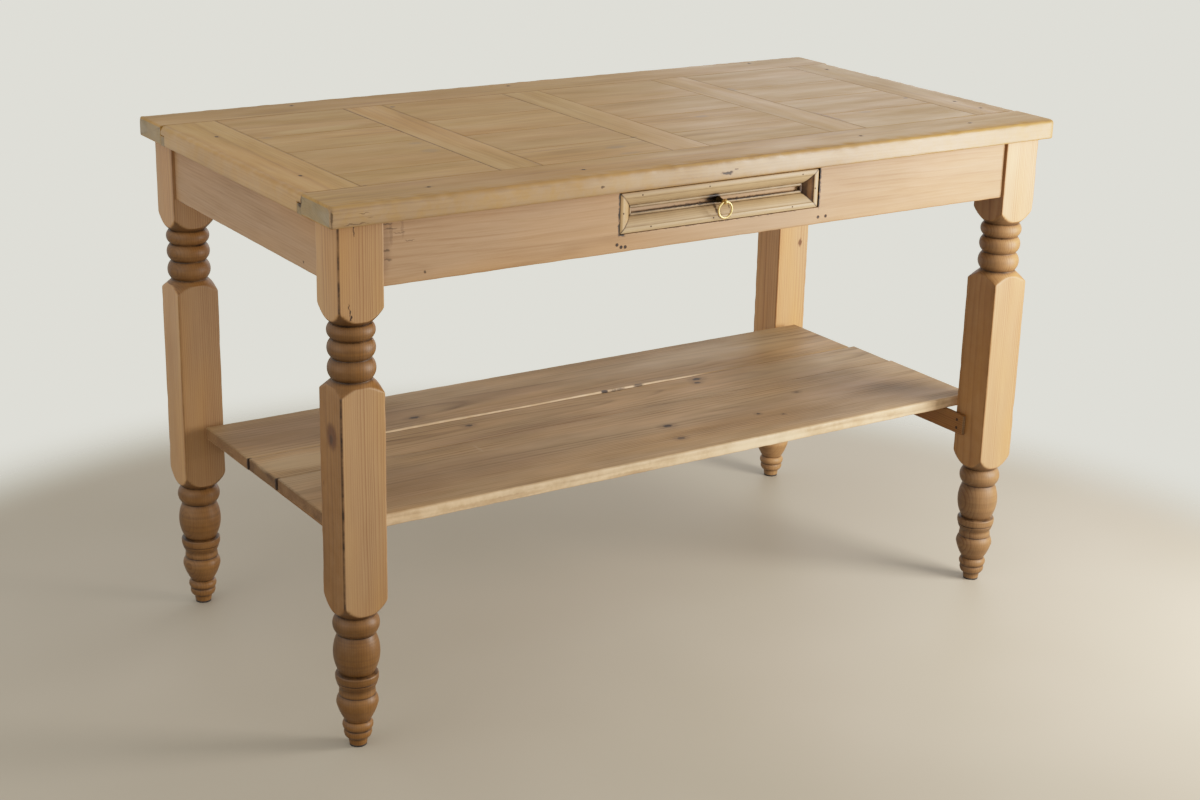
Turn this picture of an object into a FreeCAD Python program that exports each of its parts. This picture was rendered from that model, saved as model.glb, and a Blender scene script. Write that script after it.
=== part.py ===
import FreeCAD, Part
import os
import re

from FreeCAD import Placement, Rotation, Vector

# Farmhouse table: a framed board top on four square and turned legs, four aprons, one shallow
# drawer with a ring pull in the front apron, and a three-board shelf resting on two bearers.
# Lengths are millimetres. X runs along the table, the drawer opens towards -Y, Z is up, and the
# origin lies on the floor under the middle of the top.

SIZES = {
    # Whole table
    "table_length": 1270,
    "table_depth": 668,
    "table_height": 800,
    # Top: two long boards, two end boards, three battens and the boards of the bays between them
    "top_thickness": 30,
    "top_overhang": 17,
    "long_board_width": 88,
    "end_board_width": 88,
    "batten_width": 69,
    "lap_width": 14,
    "seam_gap": 0.4,
    "top_arris_radius": 4,
    "top_corner_radius": 5,
    # Legs: floor glide, turned foot, long square block, turned neck, short square block
    "leg_side": 67,
    "leg_easing": 1.5,
    "foot_turning_height": 205,
    "long_block_height": 345,
    "neck_turning_height": 79,
    "glide_height": 3,
    "glide_radius": 12.5,
    # Aprons and their tenons
    "apron_setback": 5,
    "apron_thickness": 25,
    "long_apron_height": 92,
    "end_apron_height": 87,
    "tenon_length": 25,
    "tenon_thickness": 10,
    "tenon_shoulder": 12,
    "joint_clearance": 0.1,
    "rail_under_drawer": 26,
    # Drawer
    "drawer_width": 353,
    "drawer_height": 58,
    "drawer_length": 420,
    "drawer_gap_left": 1,
    "drawer_gap_right": 3,
    "drawer_gap_below": 1,
    "drawer_front_thickness": 14,
    "drawer_side_thickness": 12,
    "drawer_side_height": 48,
    "drawer_back_thickness": 12,
    "drawer_bottom_thickness": 6,
    "drawer_bottom_rise": 8,
    "groove_depth": 5,
    "moulding_width": 25.5,
    "moulding_thickness": 17.5,
    # What carries and guides the drawer
    "runner_thickness": 24,
    "runner_inset": 20,
    "guide_thickness": 20,
    "guide_height": 22,
    "kicker_width": 20,
    "kicker_clearance": 1,
    "slide_clearance": 0.3,
    "side_play": 0.5,
    "front_clearance": 1,
    "stop_length": 15,
    "stop_width": 16,
    "stop_height": 14,
    # Ring pull
    "pull_reach": 8,
    "shank_radius": 2,
    "stem_radius": 3.2,
    "collar_radius": 5,
    "collar_thickness": 2.6,
    "collar_standoff": 6.3,
    "neck_radius": 2.2,
    "eye_radius": 3.8,
    "eye_width": 4,
    "eye_hole_radius": 1.8,
    "ring_radius": 11.85,
    "ring_wire_radius": 1.3,
    "nut_radius": 4,
    "nut_thickness": 3.2,
    # Shelf and bearers
    "shelf_height": 318,
    "shelf_thickness": 19,
    "shelf_leg_clearance": 17.5,
    "shelf_back_width": 161,
    "shelf_middle_width": 98,
    "shelf_back_left_overhang": 37,
    "shelf_back_right_overhang": 31,
    "shelf_middle_left_overhang": 35,
    "shelf_middle_right_overhang": 42,
    "shelf_front_left_overhang": 33,
    "shelf_front_right_overhang": 46,
    "shelf_seam_gap": 0.5,
    "bearer_thickness": 8.5,
    "bearer_height": 35,
    "bearer_overlap": 25,
    # Nails: cut nails through the top, aprons and bearers, and fine brads in the mouldings
    "nail_length": 52,
    "nail_radius": 1.4,
    "nail_head_radius": 2.6,
    "nail_head_thickness": 1.5,
    "short_nail_length": 34,
    "brad_length": 27,
    "brad_radius": 0.7,
    "brad_head_radius": 1.3,
    "brad_head_thickness": 1,
    "nail_clearance": 0.05,
    # How far a cutting block reaches past what it cuts
    "overrun": 5,
}

# Places along a board, as shares of the length or depth that they follow
BATTEN_CENTRE_SHARES = {"left": -0.236, "middle": -0.009, "right": 0.223}
BAY_SEAM_SHARES = {
    "1": (0.145, -0.020, -0.252),
    "2": (0.150, -0.033, -0.217),
    "3": (0.142, -0.033, -0.214),
    "4": (0.155, -0.018, -0.200),
}
# Nails in the top, as shares of the table's length and depth
TOP_NAIL_SHARES = {
    "front": ((-0.370, -0.434), (-0.181, -0.442), (0.213, -0.434), (0.387, -0.434)),
    "back": ((-0.311, 0.454), (0.000, 0.454), (0.398, 0.460)),
    "left": ((-0.466, 0.202), (-0.466, -0.228)),
    "right": ((0.468, 0.292), (0.468, -0.210), (0.468, -0.304)),
}
# Nails in the long aprons: distance out from the drawer's side and down from the runner's top,
# as shares of the guide's thickness and the runner's thickness
RUNNER_NAIL_SHARES = {
    "left": ((0.20, 0.61), (-0.15, 0.78), (-0.50, 0.80)),
    "right": ((0.13, 0.65), (0.85, 0.65)),
}
# Nails in the bearers, as shares of the bearer's height above and below its middle
BEARER_NAIL_SHARES = (-0.2, 0.2)
# Brads in the drawer's mouldings, as shares of the drawer's width, and their distance in from
# the outer edge as a share of the moulding's width
TOP_BRAD_SHARES = (-0.395, -0.065, 0.415)
BOTTOM_BRAD_SHARES = (-0.351, -0.041, 0.367)
BRAD_INSET_SHARE = 0.21

# Outlines of the turned parts. Each row ends one stretch: its kind, then the heights and radii
# it passes, as shares of the height of that turning and of half the leg's side.
FOOT_OUTLINE_SHARES = (
    ("line", (0.047, 0.424)),
    ("line", (0.050, 0.492)),
    ("arc", (0.087, 0.603), (0.114, 0.567)),
    ("arc", (0.147, 0.663), (0.183, 0.537)),
    ("arc", (0.252, 0.761), (0.319, 0.893)),
    ("arc", (0.356, 0.866), (0.386, 0.758)),
    ("line", (0.391, 0.776)),
    ("line", (0.423, 0.776)),
    ("line", (0.433, 0.734)),
    ("line", (0.443, 0.800)),
    ("arc", (0.500, 0.907), (0.532, 0.919)),
    ("arc", (0.547, 0.903), (0.551, 0.878)),
    ("line", (0.554, 0.734)),
    ("arc", (0.713, 0.997), (0.854, 0.791)),
    ("arc", (0.929, 0.997), (1.000, 0.791)),
)
NECK_OUTLINE_SHARES = (
    ("arc", (0.190, 0.997), (0.375, 0.791)),
    ("arc", (0.547, 0.994), (0.716, 0.800)),
    ("arc", (0.861, 0.994), (1.000, 0.821)),
)
FOOT_SOLE_SHARE = 0.382
NECK_START_SHARE = 0.806
# Rounded shoulders of the square blocks: height along the turning's axis, beyond the block's
# end, at the bend and where the shoulder leaves the corner, as shares of half the leg's side
LOW_SHOULDER_SHARES = ((0.170, 1.015), (0.854, 1.440))
HIGH_SHOULDER_SHARES = ((0.300, 1.134), (0.552, 1.440))
NECK_SHOULDER_SHARES = ((0.194, 1.030), (0.746, 1.440))

# Section of the drawer's moulding: distance in from its outer edge and depth behind its face,
# as shares of its width and thickness
MOULDING_OUTLINE_SHARES = (
    ("line", (0.294, 0.000)),
    ("line", (0.314, 0.057)),
    ("arc", (0.580, 0.263), (0.824, 0.640)),
    ("line", (0.839, 0.709)),
    ("arc", (0.918, 0.640), (1.000, 0.777)),
    ("line", (1.000, 1.000)),
    ("line", (0.000, 1.000)),
    ("line", (0.000, 0.000)),
)

doc = FreeCAD.newDocument("FarmhouseTable")
sheet = doc.addObject("Spreadsheet::Sheet", "Sizes")
for row, (alias, value) in enumerate(SIZES.items(), start=1):
    sheet.set(f"A{row}", alias.replace("_", " "))
    sheet.set(f"B{row}", str(value))
    sheet.setAlias(f"B{row}", alias)
doc.recompute()

WORD = re.compile(r"[a-z_]+")


def bound(text):
    """A sum of plain size names, as an expression that reads the sheet."""
    return WORD.sub(lambda word: f"Sizes.{word.group()}" if word.group() in SIZES else word.group(), text)


def size(alias):
    """One size, read from the sheet."""
    return float(sheet.get(alias))


def place(piece, x, y, z, rotation=None):
    """Puts a piece at a point given by three sums of named sizes."""
    piece.Placement = Placement(Vector(), rotation or Rotation())
    for axis, text in (("x", x), ("y", y), ("z", z)):
        piece.setExpression(f".Placement.Base.{axis}", bound(text))


def block(name, centre_x, centre_y, bottom, length, width, height):
    """A rectangular piece, centred on x and y, that stands on its bottom height."""
    piece = doc.addObject("Part::Box", name)
    piece.setExpression("Length", bound(length))
    piece.setExpression("Width", bound(width))
    piece.setExpression("Height", bound(height))
    place(piece, f"{centre_x} - ({length}) / 2", f"{centre_y} - ({width}) / 2", bottom)
    return piece


def cylinder(name, x, y, z, radius, height, direction=Vector(0, 0, 1)):
    """A round bar that starts at a point and runs in a direction."""
    piece = doc.addObject("Part::Cylinder", name)
    piece.setExpression("Radius", bound(radius))
    piece.setExpression("Height", bound(height))
    place(piece, x, y, z, Rotation(Vector(0, 0, 1), direction))
    return piece


def group(name, pieces):
    """Several pieces as one object, for a group of fasteners or of cutting blocks."""
    bundle = doc.addObject("Part::Compound", name)
    bundle.Links = pieces
    return bundle


def fuse(name, pieces):
    """One solid made of several overlapping or touching blocks."""
    union = doc.addObject("Part::MultiFuse", name)
    union.Shapes = pieces
    union.Refine = True
    return union


def cut(name, base, tools):
    """A piece with blocks taken out of it."""
    result = doc.addObject("Part::Cut", name)
    result.Base = base
    result.Tool = tools[0] if len(tools) == 1 else group(f"{name}_tools", tools)
    return result


def common(name, first, second):
    """What two solids share."""
    result = doc.addObject("Part::Common", name)
    result.Base = first
    result.Tool = second
    return result


def rounded(name, base, radius, wanted):
    """A piece whose edges that pass the test are rounded."""
    doc.recompute()
    result = doc.addObject("Part::Fillet", name)
    result.Base = base
    chosen = [n for n, edge in enumerate(base.Shape.Edges, start=1) if wanted(edge)]
    result.Edges = [(n, size(radius), size(radius)) for n in chosen]
    return result


nodes = []


def node(name, piece):
    """Names the finished piece, which is exported under that name."""
    piece.Label = name
    nodes.append(piece)
    return piece


# Lines and heights that several pieces share
TOP_UNDERSIDE = "(table_height - top_thickness)"
LEG_X = "(table_length / 2 - top_overhang - leg_side / 2)"
LEG_Y = "(table_depth / 2 - top_overhang - leg_side / 2)"
LONG_APRON_Y = "(table_depth / 2 - top_overhang - apron_setback - apron_thickness / 2)"
END_APRON_X = "(table_length / 2 - top_overhang - apron_setback - apron_thickness / 2)"
APRON_FACE_Y = f"(-{LONG_APRON_Y} - apron_thickness / 2)"
DRAWER_X = "((drawer_gap_left - drawer_gap_right) / 2)"
DRAWER_BOTTOM = f"({TOP_UNDERSIDE} - long_apron_height + rail_under_drawer + drawer_gap_below)"
BOARD_FACE_Y = f"({APRON_FACE_Y} + moulding_thickness)"
BOARD_BACK_Y = f"({BOARD_FACE_Y} + drawer_front_thickness)"
PULL_Z = f"({DRAWER_BOTTOM} + drawer_height / 2)"
RUNNER_TOP = f"({DRAWER_BOTTOM} - slide_clearance)"
SHELF_UNDERSIDE = "(shelf_height - shelf_thickness)"
# Which side of the middle a piece stands on, as a share of its distance from there
SIDE_SHARES = {"left": -1, "right": 1}
END_SHARES = {"front": -1, "back": 1}


def nail(name, x, y, z, direction, length, radius, head_radius, head_thickness, clearance=""):
    """One nail: a round head flush with the surface and a shank along the direction."""
    grow = f" + {clearance}" if clearance else ""
    head = cylinder(f"{name}_head", x, y, z, head_radius + grow, head_thickness + grow, direction)
    shank = cylinder(f"{name}_shank", x, y, z, radius + grow, length + grow, direction)
    return fuse(name, [head, shank])


NAIL_SIZES = ("nail_radius", "nail_head_radius", "nail_head_thickness")
BRAD_SIZES = ("brad_radius", "brad_head_radius", "brad_head_thickness")


def nails(name, places, direction, length, sizes):
    """A set of like nails, and the slightly larger holes that they fill."""
    solids = []
    holes = []
    for count, (x, y, z) in enumerate(places, start=1):
        solids.append(nail(f"{name}_{count}", x, y, z, direction, length, *sizes))
        holes.append(nail(f"{name}_hole_{count}", x, y, z, direction, length, *sizes, "nail_clearance"))
    return solids, holes


DOWN = Vector(0, 0, -1)
INWARD = Vector(0, 1, 0)

# Nails through the top into the aprons
top_nails = {}
top_holes = {}
for side, shares in TOP_NAIL_SHARES.items():
    places = []
    for along, across in shares:
        places.append((f"{along} * table_length", f"{across} * table_depth", "table_height"))
    top_nails[side], top_holes[side] = nails(f"top_nail_{side}", places, DOWN, "nail_length", NAIL_SIZES)

# Nails through the front and back aprons into the ends of the drawer runners
DRAWER_HALF = "(drawer_width / 2 + side_play)"
RUNNER_X = f"({DRAWER_HALF} - runner_inset / 2)"
runner_nails = {}
runner_holes = {}
for end, sign in END_SHARES.items():
    face = f"{sign} * ({LONG_APRON_Y} + apron_thickness / 2)"
    places = []
    for side, shares in RUNNER_NAIL_SHARES.items():
        for out, down in shares:
            x = f"{DRAWER_X} + {SIDE_SHARES[side]} * ({DRAWER_HALF} + {out} * guide_thickness)"
            places.append((x, face, f"{RUNNER_TOP} - {down} * runner_thickness"))
    runner_nails[end], runner_holes[end] = nails(
        f"runner_nail_{end}", places, INWARD * -sign, "nail_length", NAIL_SIZES)

# Nails through the bearers into the legs
BEARER_X = f"({LEG_X} - leg_side / 2 - bearer_thickness)"
bearer_nails = {}
bearer_holes = {}
for side, sign in SIDE_SHARES.items():
    places = []
    for end in END_SHARES.values():
        for share in BEARER_NAIL_SHARES:
            y = f"{end} * ({LEG_Y} - leg_side / 2 + bearer_overlap / 2)"
            z = f"{SHELF_UNDERSIDE} - bearer_height / 2 + {share} * bearer_height"
            places.append((f"{sign} * {BEARER_X}", y, z))
    bearer_nails[side], bearer_holes[side] = nails(
        f"bearer_nail_{side}", places, Vector(sign, 0, 0), "short_nail_length", NAIL_SIZES)


# Tabletop
def top_board(name, x_low, x_high, y_low, y_high, laps):
    """A board of the top, whose lower half is longer (a tongue) or shorter (a rebate) on some
    sides. laps gives +1, 0 or -1 for its left, right, front and back side."""
    left, right, front, back = laps
    length = f"({x_high} - ({x_low}))"
    width = f"({y_high} - ({y_low}))"
    middle_x = f"(({x_high} + ({x_low})) / 2)"
    middle_y = f"(({y_high} + ({y_low})) / 2)"
    lap = "(lap_width - seam_gap / 2)"
    upper = block(f"{name}_upper", middle_x, middle_y, "table_height - top_thickness / 2",
                  length, width, "top_thickness / 2")
    lower = block(
        f"{name}_lower",
        f"{middle_x} + ({right - left}) * {lap} / 2",
        f"{middle_y} + ({back - front}) * {lap} / 2",
        TOP_UNDERSIDE,
        f"{length} + ({left + right}) * {lap}",
        f"{width} + ({front + back}) * {lap}",
        "top_thickness / 2",
    )
    return fuse(f"{name}_board", [upper, lower])


LONG_EDGE = "table_length / 2"
DEPTH_EDGE = "table_depth / 2"
RAIL_INNER = "(table_depth / 2 - long_board_width)"
END_INNER = "(table_length / 2 - end_board_width)"


def runs_along(edge, direction):
    """True for a straight edge along a direction."""
    if not isinstance(edge.Curve, Part.Line):
        return False
    return abs(edge.tangentAt(edge.FirstParameter).dot(direction)) > 0.999


def outer_arris(edge):
    """True for the upper and lower edges along the outside of the top, and for its corners."""
    point = edge.CenterOfMass
    at_side = abs(abs(point.y) - size("table_depth") / 2) < size("seam_gap")
    at_end = abs(abs(point.x) - size("table_length") / 2) < size("seam_gap")
    level = not runs_along(edge, Vector(0, 0, 1))
    at_face = abs(point.z - size("table_height")) < size("seam_gap")
    return level and at_face and (at_side or at_end)


def corner_edge(edge):
    """True for an upright edge at an outer corner of the top."""
    point = edge.CenterOfMass
    at_side = abs(abs(point.y) - size("table_depth") / 2) < size("seam_gap")
    at_end = abs(abs(point.x) - size("table_length") / 2) < size("seam_gap")
    return at_side and at_end and runs_along(edge, Vector(0, 0, 1))


def finish_edge_board(name, board, holes):
    """Rounds the outer corners and the upper outer arris, and drills the nail holes."""
    rounded_board = board
    doc.recompute()
    if any(corner_edge(edge) for edge in board.Shape.Edges):
        rounded_board = rounded(f"{name}_corners", board, "top_corner_radius", corner_edge)
    rounded_board = rounded(f"{name}_arris", rounded_board, "top_arris_radius", outer_arris)
    return node(name, cut(f"{name}_drilled", rounded_board, holes))


front_board = top_board(
    "front", f"-{LONG_EDGE}", LONG_EDGE, f"-{DEPTH_EDGE}", f"-{RAIL_INNER} - seam_gap / 2", (0, 0, 0, 1))
finish_edge_board("top_front_board", front_board, top_holes["front"])
back_board = top_board(
    "back", f"-{LONG_EDGE}", LONG_EDGE, f"{RAIL_INNER} + seam_gap / 2", DEPTH_EDGE, (0, 0, 1, 0))
finish_edge_board("top_back_board", back_board, top_holes["back"])
CROSS_LOW = f"-{RAIL_INNER} + seam_gap / 2"
CROSS_HIGH = f"{RAIL_INNER} - seam_gap / 2"
left_board = top_board(
    "left", f"-{LONG_EDGE}", f"-{END_INNER} - seam_gap / 2", CROSS_LOW, CROSS_HIGH, (0, 1, -1, -1))
finish_edge_board("top_left_board", left_board, top_holes["left"])
right_board = top_board(
    "right", f"{END_INNER} + seam_gap / 2", LONG_EDGE, CROSS_LOW, CROSS_HIGH, (1, 0, -1, -1))
finish_edge_board("top_right_board", right_board, top_holes["right"])

for side, share in BATTEN_CENTRE_SHARES.items():
    x_low = f"{share} * table_length - batten_width / 2 + seam_gap / 2"
    x_high = f"{share} * table_length + batten_width / 2 - seam_gap / 2"
    batten = top_board(f"batten_{side}", x_low, x_high, CROSS_LOW, CROSS_HIGH, (1, 1, -1, -1))
    node(f"top_batten_{side}", batten)

batten_lines = [f"{share} * table_length" for share in BATTEN_CENTRE_SHARES.values()]
bay_starts = [f"-{END_INNER}"] + [f"{line} + batten_width / 2" for line in batten_lines]
bay_stops = [f"{line} - batten_width / 2" for line in batten_lines] + [END_INNER]
for (bay, seams), start, stop in zip(BAY_SEAM_SHARES.items(), bay_starts, bay_stops):
    lines = [RAIL_INNER] + [f"({share} * table_depth)" for share in seams] + [f"-{RAIL_INNER}"]
    for count in range(1, len(lines)):
        at_back = -1 if count == 1 else 0
        at_front = -1 if count == len(lines) - 1 else 0
        infill = top_board(
            f"bay_{bay}_{count}",
            f"{start} + seam_gap / 2",
            f"{stop} - seam_gap / 2",
            f"{lines[count]} + seam_gap / 2",
            f"{lines[count - 1]} - seam_gap / 2",
            (-1, -1, at_front, at_back),
        )
        node(f"bay_{bay}_board_{count}", infill)

node("top_nails", group("top_nails_group", [solid for solids in top_nails.values() for solid in solids]))


# Legs
def add_stretch(edges, start, kind, points):
    """Adds a line to the last point, or an arc through the first point to the last."""
    if kind == "line":
        edges.append(Part.LineSegment(start, points[-1]).toShape())
    else:
        edges.append(Part.Arc(start, points[0], points[-1]).toShape())
    return points[-1]


def turned_blank():
    """The outline of all the turned parts, spun about the leg's axis. It is wider than the
    square stock along the blocks, so what it shares with the stock is square there."""
    half = size("leg_side") / 2
    sole = size("glide_height")
    foot_top = size("foot_turning_height")
    block_top = foot_top + size("long_block_height")
    neck_top = block_top + size("neck_turning_height")
    leg_top = size("table_height") - size("top_thickness")

    def turned(bottom, height, share):
        return Vector(share[1] * half, 0, bottom + share[0] * height)

    def shoulder(height, shares, up):
        return [Vector(radius * half, 0, height + up * rise * half) for rise, radius in shares]

    edges = []
    foot_height = foot_top - sole
    point = Vector(FOOT_SOLE_SHARE * half, 0, sole)
    axis_bottom = Vector(0, 0, sole)
    edges.append(Part.LineSegment(axis_bottom, point).toShape())
    for kind, *shares in FOOT_OUTLINE_SHARES:
        point = add_stretch(edges, point, kind, [turned(sole, foot_height, share) for share in shares])
    bend, corner = shoulder(foot_top, LOW_SHOULDER_SHARES, 1)
    point = add_stretch(edges, point, "arc", [bend, corner])
    bend, corner = shoulder(block_top, HIGH_SHOULDER_SHARES, -1)
    point = add_stretch(edges, point, "line", [corner])
    neck_start = Vector(NECK_START_SHARE * half, 0, block_top)
    point = add_stretch(edges, point, "arc", [bend, neck_start])
    neck_height = neck_top - block_top
    for kind, *shares in NECK_OUTLINE_SHARES:
        point = add_stretch(edges, point, kind, [turned(block_top, neck_height, share) for share in shares])
    bend, corner = shoulder(neck_top, NECK_SHOULDER_SHARES, 1)
    point = add_stretch(edges, point, "arc", [bend, corner])
    point = add_stretch(edges, point, "line", [Vector(point.x, 0, leg_top)])
    axis_top = Vector(0, 0, leg_top)
    point = add_stretch(edges, point, "line", [axis_top])
    edges.append(Part.LineSegment(axis_top, axis_bottom).toShape())
    face = Part.Face(Part.Wire(edges))
    return face.revolve(Vector(), Vector(0, 0, 1), 360)


def tenon_height(apron_height):
    """Height of an apron's tenon between its two shoulders."""
    return f"({apron_height} - 2 * tenon_shoulder)"


def upright(edge):
    """True for an edge that runs along Z."""
    return runs_along(edge, Vector(0, 0, 1))


turned_shape = turned_blank()
for end, sign_y in END_SHARES.items():
    for side, sign_x in SIDE_SHARES.items():
        name = f"leg_{end}_{side}"
        stock = block(f"{name}_stock", f"{sign_x} * {LEG_X}", f"{sign_y} * {LEG_Y}", "glide_height",
                      "leg_side", "leg_side", f"{TOP_UNDERSIDE} - glide_height")
        eased = rounded(f"{name}_eased", stock, "leg_easing", upright)
        turning = doc.addObject("Part::Feature", f"{name}_turning")
        turning.Shape = turned_shape
        place(turning, f"{sign_x} * {LEG_X}", f"{sign_y} * {LEG_Y}", "0")
        turned_leg = common(f"{name}_turned", eased, turning)
        depth = "(tenon_length + joint_clearance)"
        thickness = "tenon_thickness + 2 * joint_clearance"
        shoulder_bottom = "tenon_shoulder - joint_clearance"
        long_mortise = block(
            f"{name}_long_mortise",
            f"{sign_x} * ({LEG_X} - leg_side / 2 + {depth} / 2)",
            f"{sign_y} * {LONG_APRON_Y}",
            f"{TOP_UNDERSIDE} - long_apron_height + {shoulder_bottom}",
            depth, thickness, f"{tenon_height('long_apron_height')} + 2 * joint_clearance")
        end_mortise = block(
            f"{name}_end_mortise",
            f"{sign_x} * {END_APRON_X}",
            f"{sign_y} * ({LEG_Y} - leg_side / 2 + {depth} / 2)",
            f"{TOP_UNDERSIDE} - end_apron_height + {shoulder_bottom}",
            thickness, depth, f"{tenon_height('end_apron_height')} + 2 * joint_clearance")
        tools = [long_mortise, end_mortise] + bearer_holes[side]
        node(name, cut(f"{name}_mortised", turned_leg, tools))

glides = []
for end, sign_y in END_SHARES.items():
    for side, sign_x in SIDE_SHARES.items():
        glides.append(cylinder(f"glide_{end}_{side}", f"{sign_x} * {LEG_X}", f"{sign_y} * {LEG_Y}", "0",
                               "glide_radius", "glide_height"))
node("floor_glides", group("floor_glides_group", glides))

# Aprons
LONG_APRON_LENGTH = f"(2 * ({LEG_X} - leg_side / 2))"
END_APRON_LENGTH = f"(2 * ({LEG_Y} - leg_side / 2))"
for end, sign in END_SHARES.items():
    line = f"{sign} * {LONG_APRON_Y}"
    bottom = f"{TOP_UNDERSIDE} - long_apron_height"
    board = block(f"{end}_apron_board", "0", line, bottom,
                  LONG_APRON_LENGTH, "apron_thickness", "long_apron_height")
    tenons = block(f"{end}_apron_tenons", "0", line, f"{bottom} + tenon_shoulder",
                   f"{LONG_APRON_LENGTH} + 2 * tenon_length", "tenon_thickness",
                   tenon_height("long_apron_height"))
    tools = top_holes[end] + runner_holes[end]
    if end == "front":
        tools.append(block("drawer_notch", "0", line, f"{bottom} + rail_under_drawer",
                           "drawer_width + drawer_gap_left + drawer_gap_right",
                           "apron_thickness + 2 * overrun", "long_apron_height"))
    apron = fuse(f"{end}_apron_blank", [board, tenons])
    node(f"{end}_apron", cut(f"{end}_apron_cut", apron, tools))
for side, sign in SIDE_SHARES.items():
    line = f"{sign} * {END_APRON_X}"
    bottom = f"{TOP_UNDERSIDE} - end_apron_height"
    board = block(f"{side}_apron_board", line, "0", bottom,
                  "apron_thickness", END_APRON_LENGTH, "end_apron_height")
    tenons = block(f"{side}_apron_tenons", line, "0", f"{bottom} + tenon_shoulder",
                   "tenon_thickness", f"{END_APRON_LENGTH} + 2 * tenon_length",
                   tenon_height("end_apron_height"))
    apron = fuse(f"{side}_apron_blank", [board, tenons])
    node(f"{side}_apron", cut(f"{side}_apron_cut", apron, top_holes[side]))

# Drawer runners, kickers and stops
RUNNER_LENGTH = f"(2 * ({LONG_APRON_Y} - apron_thickness / 2))"
SIDE_TOP = f"({DRAWER_BOTTOM} + drawer_side_height)"
DRAWER_END_Y = f"({APRON_FACE_Y} + drawer_length)"
stops = []
for side, sign in SIDE_SHARES.items():
    rail = block(f"{side}_runner_rail", f"{DRAWER_X} + {sign} * {RUNNER_X}", "0",
                 f"{RUNNER_TOP} - runner_thickness", "runner_inset", RUNNER_LENGTH, "runner_thickness")
    guide_x = f"{DRAWER_X} + {sign} * ({DRAWER_HALF} + guide_thickness / 2)"
    guide = block(f"{side}_runner_guide", guide_x, "0", f"{RUNNER_TOP} - runner_thickness",
                  "guide_thickness", RUNNER_LENGTH, "runner_thickness + guide_height")
    runner = fuse(f"{side}_runner_blank", [rail, guide])
    tools = runner_holes["front"] + runner_holes["back"]
    node(f"{side}_drawer_runner", cut(f"{side}_runner_cut", runner, tools))
    kicker_start = f"({BOARD_BACK_Y} + front_clearance)"
    kicker_stop = f"({LONG_APRON_Y} - apron_thickness / 2)"
    kicker_x = f"{DRAWER_X} + {sign} * (drawer_width / 2 - drawer_side_thickness / 2)"
    kicker = block(f"{side}_kicker", kicker_x, f"({kicker_start} + {kicker_stop}) / 2",
                   f"{SIDE_TOP} + kicker_clearance", "kicker_width", f"({kicker_stop} - {kicker_start})",
                   f"({TOP_UNDERSIDE} - {SIDE_TOP} - kicker_clearance)")
    node(f"{side}_drawer_kicker", kicker)
    stops.append(block(f"{side}_stop", f"{DRAWER_X} + {sign} * {RUNNER_X}",
                       f"{DRAWER_END_Y} + side_play + stop_length / 2", RUNNER_TOP,
                       "stop_width", "stop_length", "stop_height"))
node("drawer_stops", group("drawer_stops_group", stops))
node("runner_nails", group("runner_nails_group", runner_nails["front"] + runner_nails["back"]))

# Drawer box
PANEL_LOW = f"({DRAWER_BOTTOM} + drawer_bottom_rise)"
PANEL_TOP = f"({PANEL_LOW} + drawer_bottom_thickness)"
INNER_WIDTH = "(drawer_width - 2 * drawer_side_thickness)"
SIDE_LENGTH = "(drawer_length - moulding_thickness - drawer_front_thickness)"
BOX_MIDDLE_Y = f"(({BOARD_BACK_Y} + {DRAWER_END_Y}) / 2)"


def groove(name, grow):
    """The space that the drawer's bottom fills, a clearance larger than the bottom itself."""
    stretch = f"(groove_depth - {grow})"
    return block(name, DRAWER_X, f"({BOARD_BACK_Y} - {stretch} + {DRAWER_END_Y}) / 2",
                 f"{PANEL_LOW} + {grow} - joint_clearance", f"{INNER_WIDTH} + 2 * {stretch}",
                 f"{SIDE_LENGTH} + {stretch}",
                 f"drawer_bottom_thickness + 2 * (joint_clearance - {grow})")


BRAD_LINE = f"({BRAD_INSET_SHARE} * moulding_width)"
BRAD_TOP_Z = f"({DRAWER_BOTTOM} + drawer_height - {BRAD_LINE})"
BRAD_BOTTOM_Z = f"({DRAWER_BOTTOM} + {BRAD_LINE})"
brad_places = []
for brad_shares, brad_z in ((TOP_BRAD_SHARES, BRAD_TOP_Z), (BOTTOM_BRAD_SHARES, BRAD_BOTTOM_Z)):
    for share in brad_shares:
        brad_places.append((f"{DRAWER_X} + {share} * drawer_width", APRON_FACE_Y, brad_z))
for sign in SIDE_SHARES.values():
    brad_places.append((f"{DRAWER_X} + {sign} * (drawer_width / 2 - {BRAD_LINE})", APRON_FACE_Y, PULL_Z))
brads, brad_holes = nails("brad", brad_places, INWARD, "brad_length", BRAD_SIZES)
node("moulding_brads", group("moulding_brads_group", brads))

face_board = block("drawer_face_board", DRAWER_X, f"{BOARD_FACE_Y} + drawer_front_thickness / 2",
                   DRAWER_BOTTOM, "drawer_width", "drawer_front_thickness", "drawer_height")
shank_hole = cylinder("shank_hole", DRAWER_X, f"{BOARD_FACE_Y} - overrun", PULL_Z,
                      "shank_radius + joint_clearance", "drawer_front_thickness + 2 * overrun", INWARD)
front_tools = [shank_hole, groove("front_groove", "0")] + brad_holes
node("drawer_front", cut("drawer_front_cut", face_board, front_tools))
for side, sign in SIDE_SHARES.items():
    board = block(f"{side}_side_board", f"{DRAWER_X} + {sign} * (drawer_width - drawer_side_thickness) / 2",
                  BOX_MIDDLE_Y, DRAWER_BOTTOM, "drawer_side_thickness", SIDE_LENGTH, "drawer_side_height")
    node(f"drawer_{side}_side", cut(f"{side}_side_cut", board, [groove(f"{side}_groove", "0")]))
node("drawer_back", block("drawer_back_board", DRAWER_X, f"{DRAWER_END_Y} - drawer_back_thickness / 2",
                          f"{PANEL_TOP} + joint_clearance", INNER_WIDTH, "drawer_back_thickness",
                          f"({SIDE_TOP} - {PANEL_TOP} - joint_clearance)"))
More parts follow.
